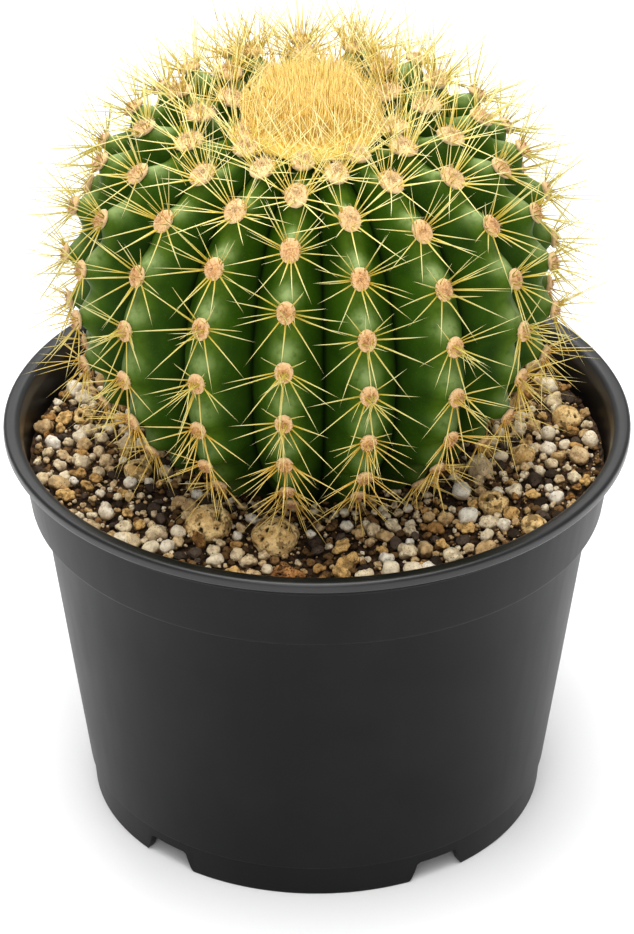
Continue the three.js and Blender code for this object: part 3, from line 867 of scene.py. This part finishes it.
def needles(rule, name, roots, ways, reach, thick, bend, **more):
    """Runs the needle rule. Lengths are in millimetres and ways have length 1."""
    carried = {key: np.asarray(value) for key, value in more.items() if not np.isscalar(value)}
    inputs = {key: value for key, value in more.items() if np.isscalar(value)}
    points = point_cloud(
        name, roots, way=ways, reach=reach * MM, thick=thick * MM, bend=bend * MM, **carried
    )
    return rule.run(name, points, **inputs)


def unit(vectors):
    return vectors / np.linalg.norm(vectors, axis=-1, keepdims=True)


# %% Spines
SPINE_PATTERN = [  # turn from the way up the rib, rise over the skin, length, thickness
    (-36, 36, 8.5, 0.8), (36, 36, 8.5, 0.8), (-76, 27, 11.5, 1.0), (82, 27, 11.0, 1.0),
    (-109, 26, 12.8, 1.0), (113, 26, 12.0, 1.0), (-140, 26, 12.8, 1.0), (146, 26, 13.0, 1.0),
    (180, 30, 12.0, 1.05), (176, 58, 13.5, 1.1), (-26, 60, 14.5, 0.6), (30, 62, 14.5, 0.6),
    (-58, 50, 14.0, 0.8), (62, 50, 14.0, 0.8), (98, 52, 16.0, 0.7), (-104, 54, 16.0, 0.7),
    (-80, 60, 15.5, 0.7), (74, 62, 15.5, 0.7),
]
YOUNG_EXTRA = [
    (-20, 48, 12.0, 0.7), (22, 50, 12.5, 0.7), (-60, 44, 12.0, 0.7), (64, 44, 12.5, 0.7),
    (0, 66, 13.5, 0.8), (180, 44, 12.0, 0.8), (-105, 50, 13.5, 0.8), (110, 50, 13.5, 0.8),
    (-30, 62, 13.0, 0.6), (35, 62, 13.0, 0.6), (150, 62, 13.0, 0.6), (-150, 62, 13.0, 0.6),
]
OLD_EXTRA = [(-158, 30, 9.5, 0.7), (160, 28, 10.0, 0.7), (-95, 36, 8.0, 0.6)]
SPINE_RADIUS = 0.215
SPINE_WIDTHS = (0.85, 1.15)
YOUNG_THINNER = 0.12
OLD_THINNER = 0.2
LENGTH_SCALE = 1.2
OLD_SHORTER = 0.36
LONGEST_SPINE = 18.5
STEEP = 45
OLD_LOSS = 0.6
YOUNG_SHARE = 0.6
OLD_SHARE = 0.9
AIM_SPREAD = 7
LIFT_SPREAD = 8
YOUNG_LIFT = 5
LENGTH_SPREAD = 0.12
ROOT_RING = 0.38
ROOT_DEPTH = 0.8
CURL = 0.04
SCATTER = (1.0, 0.85, 0.5)
LOWEST_TIP = 97.5
FARTHEST_TIP = 76.0
LIFT_TRIES = 9
LIFT_STEP = 9
SHORTEN = 0.95


def spine_set(i):
    """The spines of one areole."""
    chosen = [s for s in SPINE_PATTERN if s[1] < STEEP or rng.random() > OLD_LOSS * old[i]]
    chosen += [s for s in YOUNG_EXTRA if rng.random() < YOUNG_SHARE * young[i]]
    chosen += [s for s in OLD_EXTRA if rng.random() < OLD_SHARE * old[i]]
    return chosen


def clear_of_pot(root, along, out, lift, length):
    """The way and length of a spine, lifted until its tip clears the soil and the pot's wall."""
    for _ in range(LIFT_TRIES):
        angle = math.radians(lift)
        way = along * math.cos(angle) + out * math.sin(angle)
        tip = root + way * length
        if tip[2] > LOWEST_TIP and math.hypot(tip[0], tip[1]) < FARTHEST_TIP:
            break
        lift += LIFT_STEP
        length *= SHORTEN
    return way, length


def grow_spines():
    """Rows of: root, way, length, thickness, bend, age, tone."""
    grown = []
    for i in range(len(areoles)):
        for turn, rise, length, thick in spine_set(i):
            aim = math.radians(turn + rng.normal(0, AIM_SPREAD))
            lift = rise + rng.normal(0, LIFT_SPREAD) + YOUNG_LIFT * young[i]
            length *= (1 + LENGTH_SPREAD * rng.normal()) * (LENGTH_SCALE - OLD_SHORTER * old[i])
            length = min(length, LONGEST_SPINE)
            along = areole_up[i] * math.cos(aim) + areole_side[i] * math.sin(aim)
            root = areole_place[i] + along * ROOT_RING * pad_width[i]
            way, length = clear_of_pot(root, along, areole_out[i], lift, length)
            bend = unit(np.cross(way, rng.normal(size=3))) * length * CURL * rng.normal()
            aged = 1 - YOUNG_THINNER * young[i] - OLD_THINNER * old[i]
            width = SPINE_RADIUS * thick * rng.uniform(*SPINE_WIDTHS) * aged
            foot = root - way * ROOT_DEPTH
            grown.append((*foot, *way, length + ROOT_DEPTH, width, *bend, age[i], rng.random()))
    return np.array(grown)


def spine_finish():
    """Golden at the root and straw at the tip, more orange with age. Spines let some light through."""
    made, m, shader = finish_of(
        "golden_spine", 0.42, Specular_IOR_Level=0.3, Subsurface_Weight=0.3, Subsurface_Scale=0.5 * MM
    )
    shader.inputs["Subsurface Radius"].default_value = SCATTER
    along, years, tone = m.read("along"), m.read("age"), m.read("tone")
    grown_root = m.mix(tone, (0.55, 0.4, 0.034), (0.48, 0.39, 0.045))
    grown_tip = m.mix(tone, (0.6, 0.52, 0.17), (0.56, 0.52, 0.23))
    root = m.mix(m.ramp(years, 0.0, 0.8), grown_root, (0.64, 0.35, 0.034))
    tip = m.mix(m.ramp(years, 0.0, 0.8), grown_tip, (0.73, 0.52, 0.15))
    fresh_root = m.mix(m.ramp(years, -0.8, 0.0), (0.92, 0.74, 0.18), root)
    fresh_tip = m.mix(m.ramp(years, -0.8, 0.0), (0.94, 0.83, 0.38), tip)
    blend = m.ramp(along + 0.2 * (m.grain(1.2, 2) - 0.5), 0.05, 0.7)
    feed(m, shader, Base_Color=m.mix(blend, fresh_root, fresh_tip))
    return made


spine_rule = needle_rule("spines", spine_finish())
grown = grow_spines()
spines = needles(
    spine_rule, "spines", grown[:, 0:3], grown[:, 3:6], grown[:, 6], grown[:, 7], grown[:, 8:11],
    age=grown[:, 11], tone=grown[:, 12], Sides=5, Segments=3,
)
settle(spines, "cactus")

# %% [markdown]
# The cushions get three kinds of short needles: a dense felt, a scatter of stubs that are the feet of
# shed spines, and, on the young areoles round the crown, longer wool that leans to the apex.

# %% Felt, stubs and young wool
HAIRS = 70
STUBS = 11
WOOL = 160
HAIR_RADIUS = 0.07
STUB_RADIUS = 0.12
WOOL_RADIUS = 0.075
WOOLLY_FROM = 0.45
HAIR_FOOT = 0.3
plant_axis = leaned([0.0, 0.0, 1.0])


def on_pads(which, each, low, high):
    """Places on the cushions, from low to high of the way to the rim, with their normals, their ways to
    the rim and how near it they are."""
    turn = rng.random((len(which), each, 1)) * 2 * math.pi
    share = low + (high - low) * rng.random(turn.shape)
    half = pad_width[which, None, None] / 2
    side, up, out = (x[which, None] for x in (areole_side, areole_up, areole_out))
    flat = np.cos(turn) * side + np.sin(turn) * up * pad_long[which, None, None]
    bulge = np.sqrt(1 - share**2)
    roots = areole_place[which, None] + half * (flat * share + 0.58 * out * bulge)
    normals = unit(flat * share + 1.4 * out * bulge)
    return [*(x.reshape(-1, 3) for x in (roots, normals, unit(flat))), share.ravel()]


def stub_finish():
    made, m, shader = finish_of("spine_stub", 0.6, Specular_IOR_Level=0.25)
    aged = m.mix(m.ramp(m.grain(1.5, 2), 0.35, 0.65), (0.5, 0.2, 0.05), (0.8, 0.46, 0.15))
    feed(m, shader, Base_Color=m.mix(m.ramp(m.read("age"), -0.9, 0.1), (0.88, 0.62, 0.26), aged))
    return made


def add_hairs(name, material, roots, ways, reach, radius, rims, ages):
    thick = np.full(len(roots), radius)
    bends = 0.2 * reach[:, None] * rng.normal(size=roots.shape)
    made = needles(
        needle_rule(name, material), name, roots, ways, reach, thick, bends, age=ages, rim=rims,
        Sides=3, Segments=1,
    )
    settle(made, "cactus")


every = np.arange(len(areoles))
roots, normals, _, rims = on_pads(every, HAIRS, 0.0, 0.98)
reach = 0.7 + 0.5 * rng.random(len(roots))
ways = unit(normals + 0.3 * rng.normal(size=roots.shape))
feet = roots - HAIR_FOOT * normals
add_hairs("felt_hairs", felt, feet, ways, reach, HAIR_RADIUS, rims, np.repeat(age, HAIRS))

roots, normals, flat, rims = on_pads(every, STUBS, 0.1, 0.7)
reach = 0.8 + 0.5 * rng.random(len(roots))
ways = unit(flat + 0.25 * normals)
add_hairs("spine_stubs", stub_finish(), roots, ways, reach, STUB_RADIUS, rims, np.repeat(age, STUBS))

woolly = np.flatnonzero(young > WOOLLY_FROM)
roots, normals, _, rims = on_pads(woolly, WOOL, 0.0, 1.0)
strength = np.repeat(young[woolly], WOOL)
reach = (0.7 + 1.0 * strength**2) * (0.5 + 0.7 * rng.random(len(roots)))
lean = np.repeat(areole_up[woolly], WOOL, 0) * 0.3 + plant_axis * 0.3
ways = unit(normals + lean + 0.25 * rng.normal(size=roots.shape))
feet = roots - HAIR_FOOT * normals
add_hairs("young_wool", felt, feet, ways, reach, WOOL_RADIUS, rims, np.full(len(roots), -1.0))

# %% [markdown]
# ## Crown
# The youngest areoles crowd together on the sunken apex, so their wool and their soft new spines close
# up into one yellow brush. Underneath lies a woolly cushion. Thousands of fine upright spines stand in
# it, golden all along, the outer ones leaning out and those at the front edge cream.

# %% Crown cushion
CROWN_RADIUS = 17.0
CROWN_ARC = 15.5
CROWN_RISE = 3.4
CROWN_SIDES = 72
CROWN_GAP = 0.3
crown_rng = np.random.default_rng(67)


def crown_cushion():
    """A low dome that follows the apex underneath."""
    arcs = np.linspace(1.5, CROWN_ARC, 8)
    r, z, nr, nz = crest_at(arcs)
    under = np.stack([r + CROWN_GAP * nr, z + CROWN_GAP * nz], 1)
    t = np.linspace(0, 1, 12)[:-1]
    over_r = CROWN_RADIUS * np.cos(t * math.pi / 2) ** 0.8
    over_z = under[-1, 1] + 1.0 + CROWN_RISE * np.sin(t * math.pi / 2)
    profile = np.concatenate([under, np.stack([over_r, over_z], 1)])
    azimuths = np.arange(CROWN_SIDES) * 360 / CROWN_SIDES
    rows = in_pot(polar(profile[:, :1], azimuths[None], profile[:, 1:]))
    top = in_pot([[0, 0, over_z[-1] + 0.1]])[0]
    bottom = in_pot([[0, 0, CREST[0][1] + CROWN_GAP]])[0]
    mesh = wrapped("crown_cushion", rows, bottom, top)
    faces_out(mesh)
    return mesh


def lump_rule(name, material):
    """Moves every point in or out by noise, by an amount and a size that are its inputs."""
    rule = Rule(name)
    size = rule.input("Lump size", value=3 * MM)
    depth = rule.input("Lump depth", value=0.5 * MM)
    detail = rule.input("Detail", value=2.0)
    sockets = {"Vector": rule.longer(rule.place(), 1 / size), "Scale": 1.0, "Detail": detail}
    lumps = rule.node("ShaderNodeTexNoise", {}, sockets)
    rule.push((lumps - 0.5) * 2 * depth)
    rule.close(material)
    return rule


def wool_finish():
    made, m, shader = finish_of("crown_wool", 0.9, Sheen_Weight=0.4, Specular_IOR_Level=0.2)
    tuft = m.grain(1.4, 3)
    feed(m, shader, Base_Color=m.mix(m.ramp(tuft, 0.3, 0.7), (0.84, 0.54, 0.09), (0.9, 0.64, 0.16)))
    return made


crown_base = lump_rule("wool_lumps", wool_finish()).run(
    "crown_cushion", crown_cushion(), Lump_size=2.2 * MM, Lump_depth=0.8 * MM
)
settle(crown_base, "crown", "crown_wool")

# %% Crown spines
CROWN_SPINES = 8600
CROWN_LEAN = 21
CROWN_SPINE_RADIUS = 0.12
CROWN_FILL = 0.9
CROWN_FOOT = 6.2
CROWN_DOME = 3.6
TURN_SPREAD = 4
LEAN_SPREAD = 4
WAY_SPREAD = 15
RING_SPINES = 460
RING_ARC = 38
RING_SPREAD = 2.6
GOLDEN_SHARE = 3 - math.sqrt(5)


def grow_crown():
    """Upright spines evenly on the crown: roots, ways, lengths, bends and how pale each one is."""
    count = np.arange(CROWN_SPINES)
    share = np.sqrt((count + 0.5) / CROWN_SPINES)
    azimuth = np.degrees(count * math.pi * GOLDEN_SHARE) + TURN_SPREAD * crown_rng.normal(size=CROWN_SPINES)
    height = CREST[0][1] + CROWN_FOOT + CROWN_DOME * (1 - share**2) ** 0.5
    places = polar(CROWN_RADIUS * share * CROWN_FILL, azimuth, height)
    lean = np.radians(CROWN_LEAN * share**1.8 + LEAN_SPREAD * crown_rng.normal(size=CROWN_SPINES))
    heading = azimuth + WAY_SPREAD * crown_rng.normal(size=CROWN_SPINES)
    ways = leaned(polar(np.sin(lean), heading, np.cos(lean)))
    behind = share * (1 - np.cos(np.radians(azimuth))) / 2
    before = share * (1 + np.cos(np.radians(azimuth))) / 2
    longest = 8.4 - 3.0 * share**3 - 2.6 * before**3 + 6.0 * behind**3
    reach = longest * (0.58 + 0.6 * crown_rng.random(CROWN_SPINES))
    bends = 0.35 * crown_rng.normal(size=places.shape)
    pale = 0.5 + 0.4 * places[:, 1] / CROWN_RADIUS + 0.2 * crown_rng.normal(size=CROWN_SPINES)
    return in_pot(places), unit(ways), reach, bends, np.clip(pale, 0, 1) + 1.0 * before**4


def grow_ring():
    """The longer spines of the youngest areoles, which stand up round the crown and close the gap."""
    near = np.flatnonzero(areole_arcs < RING_ARC)
    weight = 0.2 + 1.0 * (areole_place[near, 1] > 0)
    which = crown_rng.choice(near, RING_SPINES, p=weight / weight.sum())
    offset = crown_rng.normal(size=(RING_SPINES, 3))
    roots = areole_place[which] + RING_SPREAD * offset
    spread = 0.4 * areole_out[which] + 0.9 * plant_axis + 0.36 * crown_rng.normal(size=offset.shape)
    reach = 8.5 + 5.5 * crown_rng.random(RING_SPINES)
    bends = 0.4 * crown_rng.normal(size=offset.shape)
    return roots, unit(spread), reach, bends, 0.7 + 0.4 * crown_rng.random(RING_SPINES)


def crown_finish():
    """Young spines let light through, so a little of it is scattered inside them."""
    made, m, shader = finish_of(
        "crown_spine", 0.55, Specular_IOR_Level=0.25, Subsurface_Weight=0.35, Subsurface_Scale=0.5 * MM
    )
    shader.inputs["Subsurface Radius"].default_value = SCATTER
    along, pale = m.read("along"), m.read("tone")
    root = m.mix(m.ramp(pale, 0.0, 1.0), (0.8, 0.49, 0.052), (0.83, 0.55, 0.095))
    tip = m.mix(m.ramp(pale, 0.0, 1.0), (0.73, 0.45, 0.066), (0.77, 0.51, 0.1))
    golden = m.mix(m.ramp(along, 0.1, 0.9), root, tip)
    feed(m, shader, Base_Color=m.mix(m.ramp(pale, 1.1, 2.0), golden, (0.78, 0.57, 0.24)))
    return made


roots, ways, reach, bends, pale = (np.concatenate(both) for both in zip(grow_crown(), grow_ring()))
thick = CROWN_SPINE_RADIUS * (0.75 + 0.5 * crown_rng.random(len(roots)))
crown_spines = needles(
    needle_rule("crown_spines", crown_finish()), "crown_spines", roots, ways, reach, thick, bends,
    tone=pale, Sides=3, Segments=3,
)
settle(crown_spines, "crown")

# %% [markdown]
# ## Soil
# Cactus soil is mostly stone: white perlite, tan pumice, orange bark and dark crumbs, with black gaps
# between. A bed of crumbly earth lies under them all, with a hollow that the plant's root fills.

# %% Soil bed
SOIL_LEVEL = 94.6
BED_SIDES = 210
BED_DROP = 1.5
BED_FLAT = 30.0
BED_RUN = 8
ROOT_HOLLOW = [(12, 80.0), (5, 66.0)]
HOLLOW_FLOOR = 64.0
SOIL_SIDES = [(55.3, 7.4), (66.4, 82.0), (69.5, 85.0), (71.2, 93.6)]


def soil_bed():
    top = [(r, SOIL_LEVEL - BED_DROP) for r in np.arange(70.5, 20, -1.1)] + ROOT_HOLLOW
    sides = with_rows(np.array([(BED_FLAT, FLOOR_TOP), *SOIL_SIDES]), BED_RUN)
    mesh = turned("soil_bed", np.array(sides.tolist() + top), BED_SIDES, FLOOR_TOP, HOLLOW_FLOOR)
    faces_out(mesh)
    return mesh


def earth_finish():
    made, m, shader = finish_of("dark_earth", 0.95, Specular_IOR_Level=0.2)
    crumb = m.grain(1.6, 5)
    damp = m.grain(12, 3)
    colour = m.mix(m.ramp(crumb, 0.35, 0.7), (0.01, 0.006, 0.003), (0.14, 0.075, 0.035))
    feed(m, shader, Base_Color=m.mix(damp * 0.4, colour, (0.012, 0.007, 0.004)))
    feed(m, shader, Normal=bumped(m, crumb, 0.8))
    return made


earth = earth_finish()
bed = lump_rule("crumble", earth).run(
    "soil_bed", soil_bed(), Lump_size=2.2 * MM, Lump_depth=0.9 * MM, Detail=4.0
)
settle(bed, "potting_soil", "soil")

# %% [markdown]
# Pumice is frozen foam: rough, pitted and pierced by round holes. Each loose stone keeps the form of its
# solid, which is rounded and then worn by noise, with holes where a second pattern has its cells.

# %% Loose stones
STONES = {name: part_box(name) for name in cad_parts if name.startswith(("pumice", "bark"))}


def stone_finish(name, dark, light, pit_size):
    """Two tones in patches and dark flecks, with painted shade in small pits, in cavity patches and where a
    hole is pressed in.
    """
    made, m, shader = finish_of(name, 0.95, Specular_IOR_Level=0.12)
    patch = m.grain(3.0, 5)
    fine = m.grain(0.55, 3)
    tone = m.mix(m.ramp(patch, 0.32, 0.68), dark, light)
    # Painted shade in the small pits, which also dent the bump.
    pits = (1 - m.ramp(m.cells(pit_size), 0.1, 0.32)) * m.ramp(m.grain(2.2, 2), 0.42, 0.56)
    flecked = m.mix(m.ramp(fine, 0.5, 0.72) * 0.55, tone, tuple(c * 0.4 for c in dark))
    holed = m.mix(pits, flecked, tuple(c * 0.1 for c in dark))
    # Painted shade: dark patches that stand for shaded cavities.
    painted_cavity_shade = m.ramp(m.grain(2.4, 4), 0.54, 0.61) * 0.75
    cavity_shaded = m.mix(painted_cavity_shade, holed, tuple(c * 0.22 for c in dark))
    # Painted shade where a hole is pressed in.
    colour = m.mix(m.ramp(m.read("hole"), 0.15, 0.8), cavity_shaded, tuple(c * 0.06 for c in dark))
    feed(m, shader, Base_Color=colour, Normal=bumped(m, fine - 0.8 * pits, 0.4))
    return made


def weathered_rule(name, material, lump, relief):
    """Rough noise for the form, and round holes pressed in by the cells of a second pattern."""
    rule = Rule(name)
    size = rule.input("Lump size", value=lump * MM)
    depth = rule.input("Lump depth", value=relief * MM)
    hole = rule.input("Hole size", value=2.7 * MM)
    hole_depth = rule.input("Hole depth", value=1.1 * MM)
    where = {scale: rule.longer(rule.place(), 1 / scale) for scale in (size, hole)}
    sockets = {"Vector": where[size], "Scale": 1.0, "Detail": 4.0, "Roughness": 0.6}
    lumps = rule.node("ShaderNodeTexNoise", {}, sockets)
    bent = rule.vector("ADD", where[hole], rule.longer(rule.joined(lumps, 1 - lumps, lumps), 0.9))
    cell = rule.node("ShaderNodeTexVoronoi", {}, {"Vector": bent, "Scale": 1.0})
    some = rule.ramp(rule.node("ShaderNodeTexNoise", {}, {"Vector": where[size], "Scale": 0.7}), 0.4, 0.5)
    holes = (1 - rule.ramp(cell, 0.2, 0.46)) * some
    rule.store("hole", holes)
    rule.push((lumps - 0.5) * 2 * depth - holes * hole_depth)
    rule.close(material)
    return rule


def fine_stone(node, rule, slot, levels):
    """The solid's own form, merged, rounded and weathered."""
    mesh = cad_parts[node].data.copy()
    work = bmesh.new()
    work.from_mesh(mesh)
    bmesh.ops.remove_doubles(work, verts=work.verts, dist=MERGE_WITHIN * MM)
    work.to_mesh(mesh)
    work.free()
    mesh.materials.clear()
    made = add_piece("loose_" + node, mesh)
    finer = made.modifiers.new("finer", "SUBSURF")
    finer.levels = finer.render_levels = levels
    worn = made.modifiers.new("worn", "NODES")
    worn.node_group = rule.tree
    kept_mesh(made)
    settle(made, slot, node)


tan_pumice = stone_finish("tan_pumice", (0.58, 0.34, 0.11), (0.96, 0.69, 0.32), 1.3)
bark_material = stone_finish("orange_bark", (0.12, 0.045, 0.015), (0.62, 0.3, 0.1), 1.0)
stone_rule = weathered_rule("weathered_pumice", tan_pumice, 4.0, 1.2)
bark_rule = weathered_rule("weathered_bark", bark_material, 2.2, 1.5)
LARGE_STONES = ("pumice_01", "pumice_02")
MERGE_WITHIN = 0.01
for node in sorted(STONES):
    if node.startswith("pumice"):
        fine_stone(node, stone_rule, "pumice", 3 if node in LARGE_STONES else 2)
    else:
        fine_stone(node, bark_rule, "bark", 3)

# %% [markdown]
# The smaller grains are thrown one after another on the open ring, the large ones first. One is kept
# only where it hardly overlaps those before it, but the finest crumbs lie anywhere. Each kind is a rule
# that sets lumpy balls on its points, so no two grains are alike.

# %% Grains
grain_rng = np.random.default_rng(23)
GRAIN_EDGE = 71.0
INNER_EDGE = 24.0
KINDS = {  # count, smallest, largest, flatness, knobs, fineness, lowest and highest over SOIL_LEVEL
    "pumice_pebbles": (225, 2.2, 5.4, 0.85, 0.26, 3, 0.0, 0.9),
    "perlite_beads": (115, 2.2, 5.2, 0.9, 0.16, 3, 0.2, 1.0),
    "bark_chips": (100, 2.2, 5.6, 0.6, 0.35, 3, 0.0, 0.7),
    "dark_chips": (150, 2.0, 4.2, 0.7, 0.15, 2, -0.3, 0.5),
    "pale_grit": (900, 0.9, 2.4, 0.85, 0.3, 2, -0.4, 0.5),
    "dark_grit": (850, 0.9, 2.6, 0.75, 0.15, 2, -0.6, 0.4),
    "fine_crumbs": (2600, 0.4, 1.1, 0.8, 0.0, 1, -0.9, 0.2),
}
LUMP_SHARE = 0.22
CRUMB_LIMIT = 1.1
SIZE_SKEW = 1.8
THROWS = 14
LARGE_GRAIN = 2.6
PLANT_FOOT = 30
CLEARANCE = 0.43
CHIP_SHARP = 28
NARROWEST = 0.85
STRETCH = 0.3
GRAIN_LIFT = 0.08
GRAIN_TILT = 0.5
GRAIN_TURN = 6.28
PLACED = {  # distance from the axis, azimuth, width, of grains that stand out
    "pumice_pebbles": [
        (69, -98, 5.0), (63.5, -45.5, 6.0), (41.4, 75, 6.9), (62, 40.5, 6.0), (59.6, 33, 5.0),
    ],
    "perlite_beads": [
        (53.7, 18, 3.5), (59.4, 17, 5.0), (61.7, 22, 5.5), (62.9, 25, 4.5), (65, -46, 5.0),
        (52.3, -99.5, 3.0),
    ],
    "bark_chips": [(58.5, 6, 5.5), (61, -19, 5.5), (47.2, 7, 5.0), (51.8, -33, 5.0)],
}


def throw_grains():
    """Places for every kind: x, y and width, none much inside another."""
    taken = []
    for low, high in STONES.values():
        centre, size = (low + high) / 2 / MM, (high - low) / MM
        taken.append((centre.x, centre.y, max(size.x, size.y)))
    placed = {kind: [] for kind in KINDS}
    order = [(kind, spot) for kind, spots in PLACED.items() for spot in spots]
    for kind, (radius, azimuth, width) in order:
        spot = (*polar(radius, azimuth, 0)[:2], width)
        placed[kind].append(spot)
        taken.append(spot)
    wanted = []
    for kind, (count, small, large, *_) in KINDS.items():
        sizes = small + (large - small) * grain_rng.random(count) ** SIZE_SKEW
        wanted += [(size, kind) for size in sizes]
    wanted.sort(reverse=True)
    taken = np.array(taken)
    for size, kind in wanted:
        for _ in range(THROWS):
            radius = math.sqrt(grain_rng.uniform(INNER_EDGE**2, (GRAIN_EDGE - size / 2) ** 2))
            spot = polar(radius, grain_rng.uniform(0, 360), 0)[:2]
            if size > LARGE_GRAIN and radius < PLANT_FOOT + 2 * size:
                continue
            if size < CRUMB_LIMIT:
                placed[kind].append((*spot, size))
                break
            near = np.hypot(*(taken[:, :2] - spot).T) < CLEARANCE * (taken[:, 2] + size)
            if not near.any():
                placed[kind].append((*spot, size))
                taken = np.vstack([taken, [*spot, size]])
                break
    return {kind: np.array(spots) for kind, spots in placed.items()}


def grain_rule(name, material, faces, knobbly):
    """Lumpy balls on points. Noise bends each one and cells crease it like a popped corn.
    Both are read where the ball lies, so all of them differ."""
    rule = Rule(name)
    steps = rule.input("Fineness", "Int", faces)
    share = rule.input("Lump share", value=LUMP_SHARE)
    knob = rule.input("Knobs", value=knobbly)
    ball = rule.node("GeometryNodeMeshIcoSphere", {}, {"Radius": 0.5, "Subdivisions": steps})
    turn, size = (rule.named(key, "FLOAT_VECTOR") for key in ("turn", "size"))
    rule.then("GeometryNodeInstanceOnPoints", Instance=ball, Rotation=turn, Scale=size)
    rule.then("GeometryNodeRealizeInstances")
    width = rule.named("width")
    where = rule.longer(rule.place(), 1.6 / width)
    lumps = rule.node("ShaderNodeTexNoise", {}, {"Vector": where, "Scale": 1.0, "Detail": 2.0})
    cell = rule.node("ShaderNodeTexVoronoi", {}, {"Vector": where, "Scale": 1.45})
    # rise and crease say where the finish darkens a grain, underneath and in its creases: partly dirt,
    # partly painted shade.
    rule.store("rise", rule.parts(rule.node("GeometryNodeInputNormal"))[2])
    rule.store("crease", rule.ramp(cell, 0.42, 0.72) * knob * 2)
    rule.push(((lumps - 0.5) * 2 * share - (cell * cell - 0.15) * knob) * width)
    rule.close(material)
    return rule


def grain_finish(name, darkest, dark, light, fleck):
    """Each grain has its own tone, from its point, under specks and painted shade in its pits, and is darker
    in its creases and underneath, partly dirt and partly painted shade.
    """
    made, m, shader = finish_of(name, 0.95, Specular_IOR_Level=0.1)
    fine = m.grain(0.5, 4, rough=0.65)
    patch = m.grain(1.7, 3)
    # Painted shade in the small pits.
    pits = (1 - m.ramp(m.cells(0.8), 0.08, 0.3)) * m.ramp(patch, 0.42, 0.56)
    base = m.mix(m.ramp(0.75 * m.read("tone") + 0.6 * (patch - 0.3), 0.0, 1.0), dark, light)
    specked = m.mix(m.ramp(fine, 0.5, 0.68) * fleck, base, darkest)
    pitted = m.mix(pits * (0.3 + fleck), specked, darkest)
    # Darker underneath and in the creases: partly dirt, partly painted shade.
    dirt_and_underside_shade = 1 - m.ramp(m.read("rise") + 0.8 * (patch - 0.5), -0.35, 0.25)
    dirtied_and_shaded = m.mix(m.read("crease") * 0.85, m.mix(dirt_and_underside_shade * 0.75, pitted, darkest), darkest)
    feed(m, shader, Base_Color=dirtied_and_shaded, Normal=bumped(m, fine - 0.6 * pits, 0.35))
    return made


GRAIN_TONES = {  # finish, darkest, dark, light, share of specks
    "pumice_pebbles": ("cream_pumice", (0.14, 0.065, 0.022), (0.64, 0.41, 0.17), (0.97, 0.83, 0.56), 0.5),
    "perlite_beads": ("white_perlite", (0.36, 0.22, 0.09), (0.88, 0.74, 0.5), (0.97, 0.91, 0.77), 0.36),
    "bark_chips": ("brown_bark", (0.04, 0.016, 0.005), (0.32, 0.14, 0.036), (0.88, 0.55, 0.2), 0.6),
    "dark_chips": ("dark_bark", (0.005, 0.003, 0.002), (0.025, 0.016, 0.01), (0.12, 0.085, 0.06), 0.5),
    "pale_grit": ("pale_grit", (0.1, 0.05, 0.018), (0.64, 0.41, 0.17), (0.97, 0.84, 0.6), 0.4),
    "dark_grit": ("dark_grit", (0.006, 0.004, 0.002), (0.035, 0.019, 0.01), (0.3, 0.16, 0.06), 0.5),
    "fine_crumbs": ("soil_crumbs", (0.01, 0.006, 0.003), (0.07, 0.035, 0.014), (0.72, 0.47, 0.22), 0.4),
}
GRAIN_FINISHES = {kind: grain_finish(*tones) for kind, tones in GRAIN_TONES.items()}
CHIPPED = ("bark_chips", "dark_chips", "dark_grit")
thrown = throw_grains()
for kind, (_, _, _, flat, knobbly, fineness, low, high) in KINDS.items():
    spots = thrown[kind]
    count = len(spots)
    width = spots[:, 2]
    stretch = NARROWEST + STRETCH * grain_rng.random(count)
    size = np.stack([width * stretch, width / stretch, width * flat], -1) * MM
    height = SOIL_LEVEL + grain_rng.uniform(low, high, count) + GRAIN_LIFT * width
    tilt = GRAIN_TILT * grain_rng.normal(size=(2, count))
    turn = np.stack([*tilt, GRAIN_TURN * grain_rng.random(count)], -1)
    points = point_cloud(
        kind, np.column_stack([spots[:, :2], height]), size=size, turn=turn, width=width * MM,
        tone=grain_rng.random(count),
    )
    grains = grain_rule(kind, GRAIN_FINISHES[kind], fineness, knobbly).run(kind, points)
    if kind in CHIPPED:
        grains.data.set_sharp_from_angle(angle=math.radians(CHIP_SHARP))
    settle(grains, "potting_soil")

# %% [markdown]
# ## Floor
# The floor is one large white face. It isn't part of the object.

# %% Floor
FLOOR_REACH = 6
FLOOR_CORNERS = [(-1, -1), (1, -1), (1, 1), (-1, 1)]
floor_mesh = bpy.data.meshes.new("floor")
floor_places = [(x * FLOOR_REACH, y * FLOOR_REACH, 0) for x, y in FLOOR_CORNERS]
floor_mesh.from_pydata(floor_places, [], [(0, 1, 2, 3)])
floor = add_piece("floor", floor_mesh)
floor_paint, _, floor_shader = finish_of("white_sweep", 0.9, Specular_IOR_Level=0.1)
floor_shader.inputs["Base Color"].default_value = (FLOOR_WHITE, FLOOR_WHITE, FLOOR_WHITE, 1)
floor_mesh.materials.append(floor_paint)
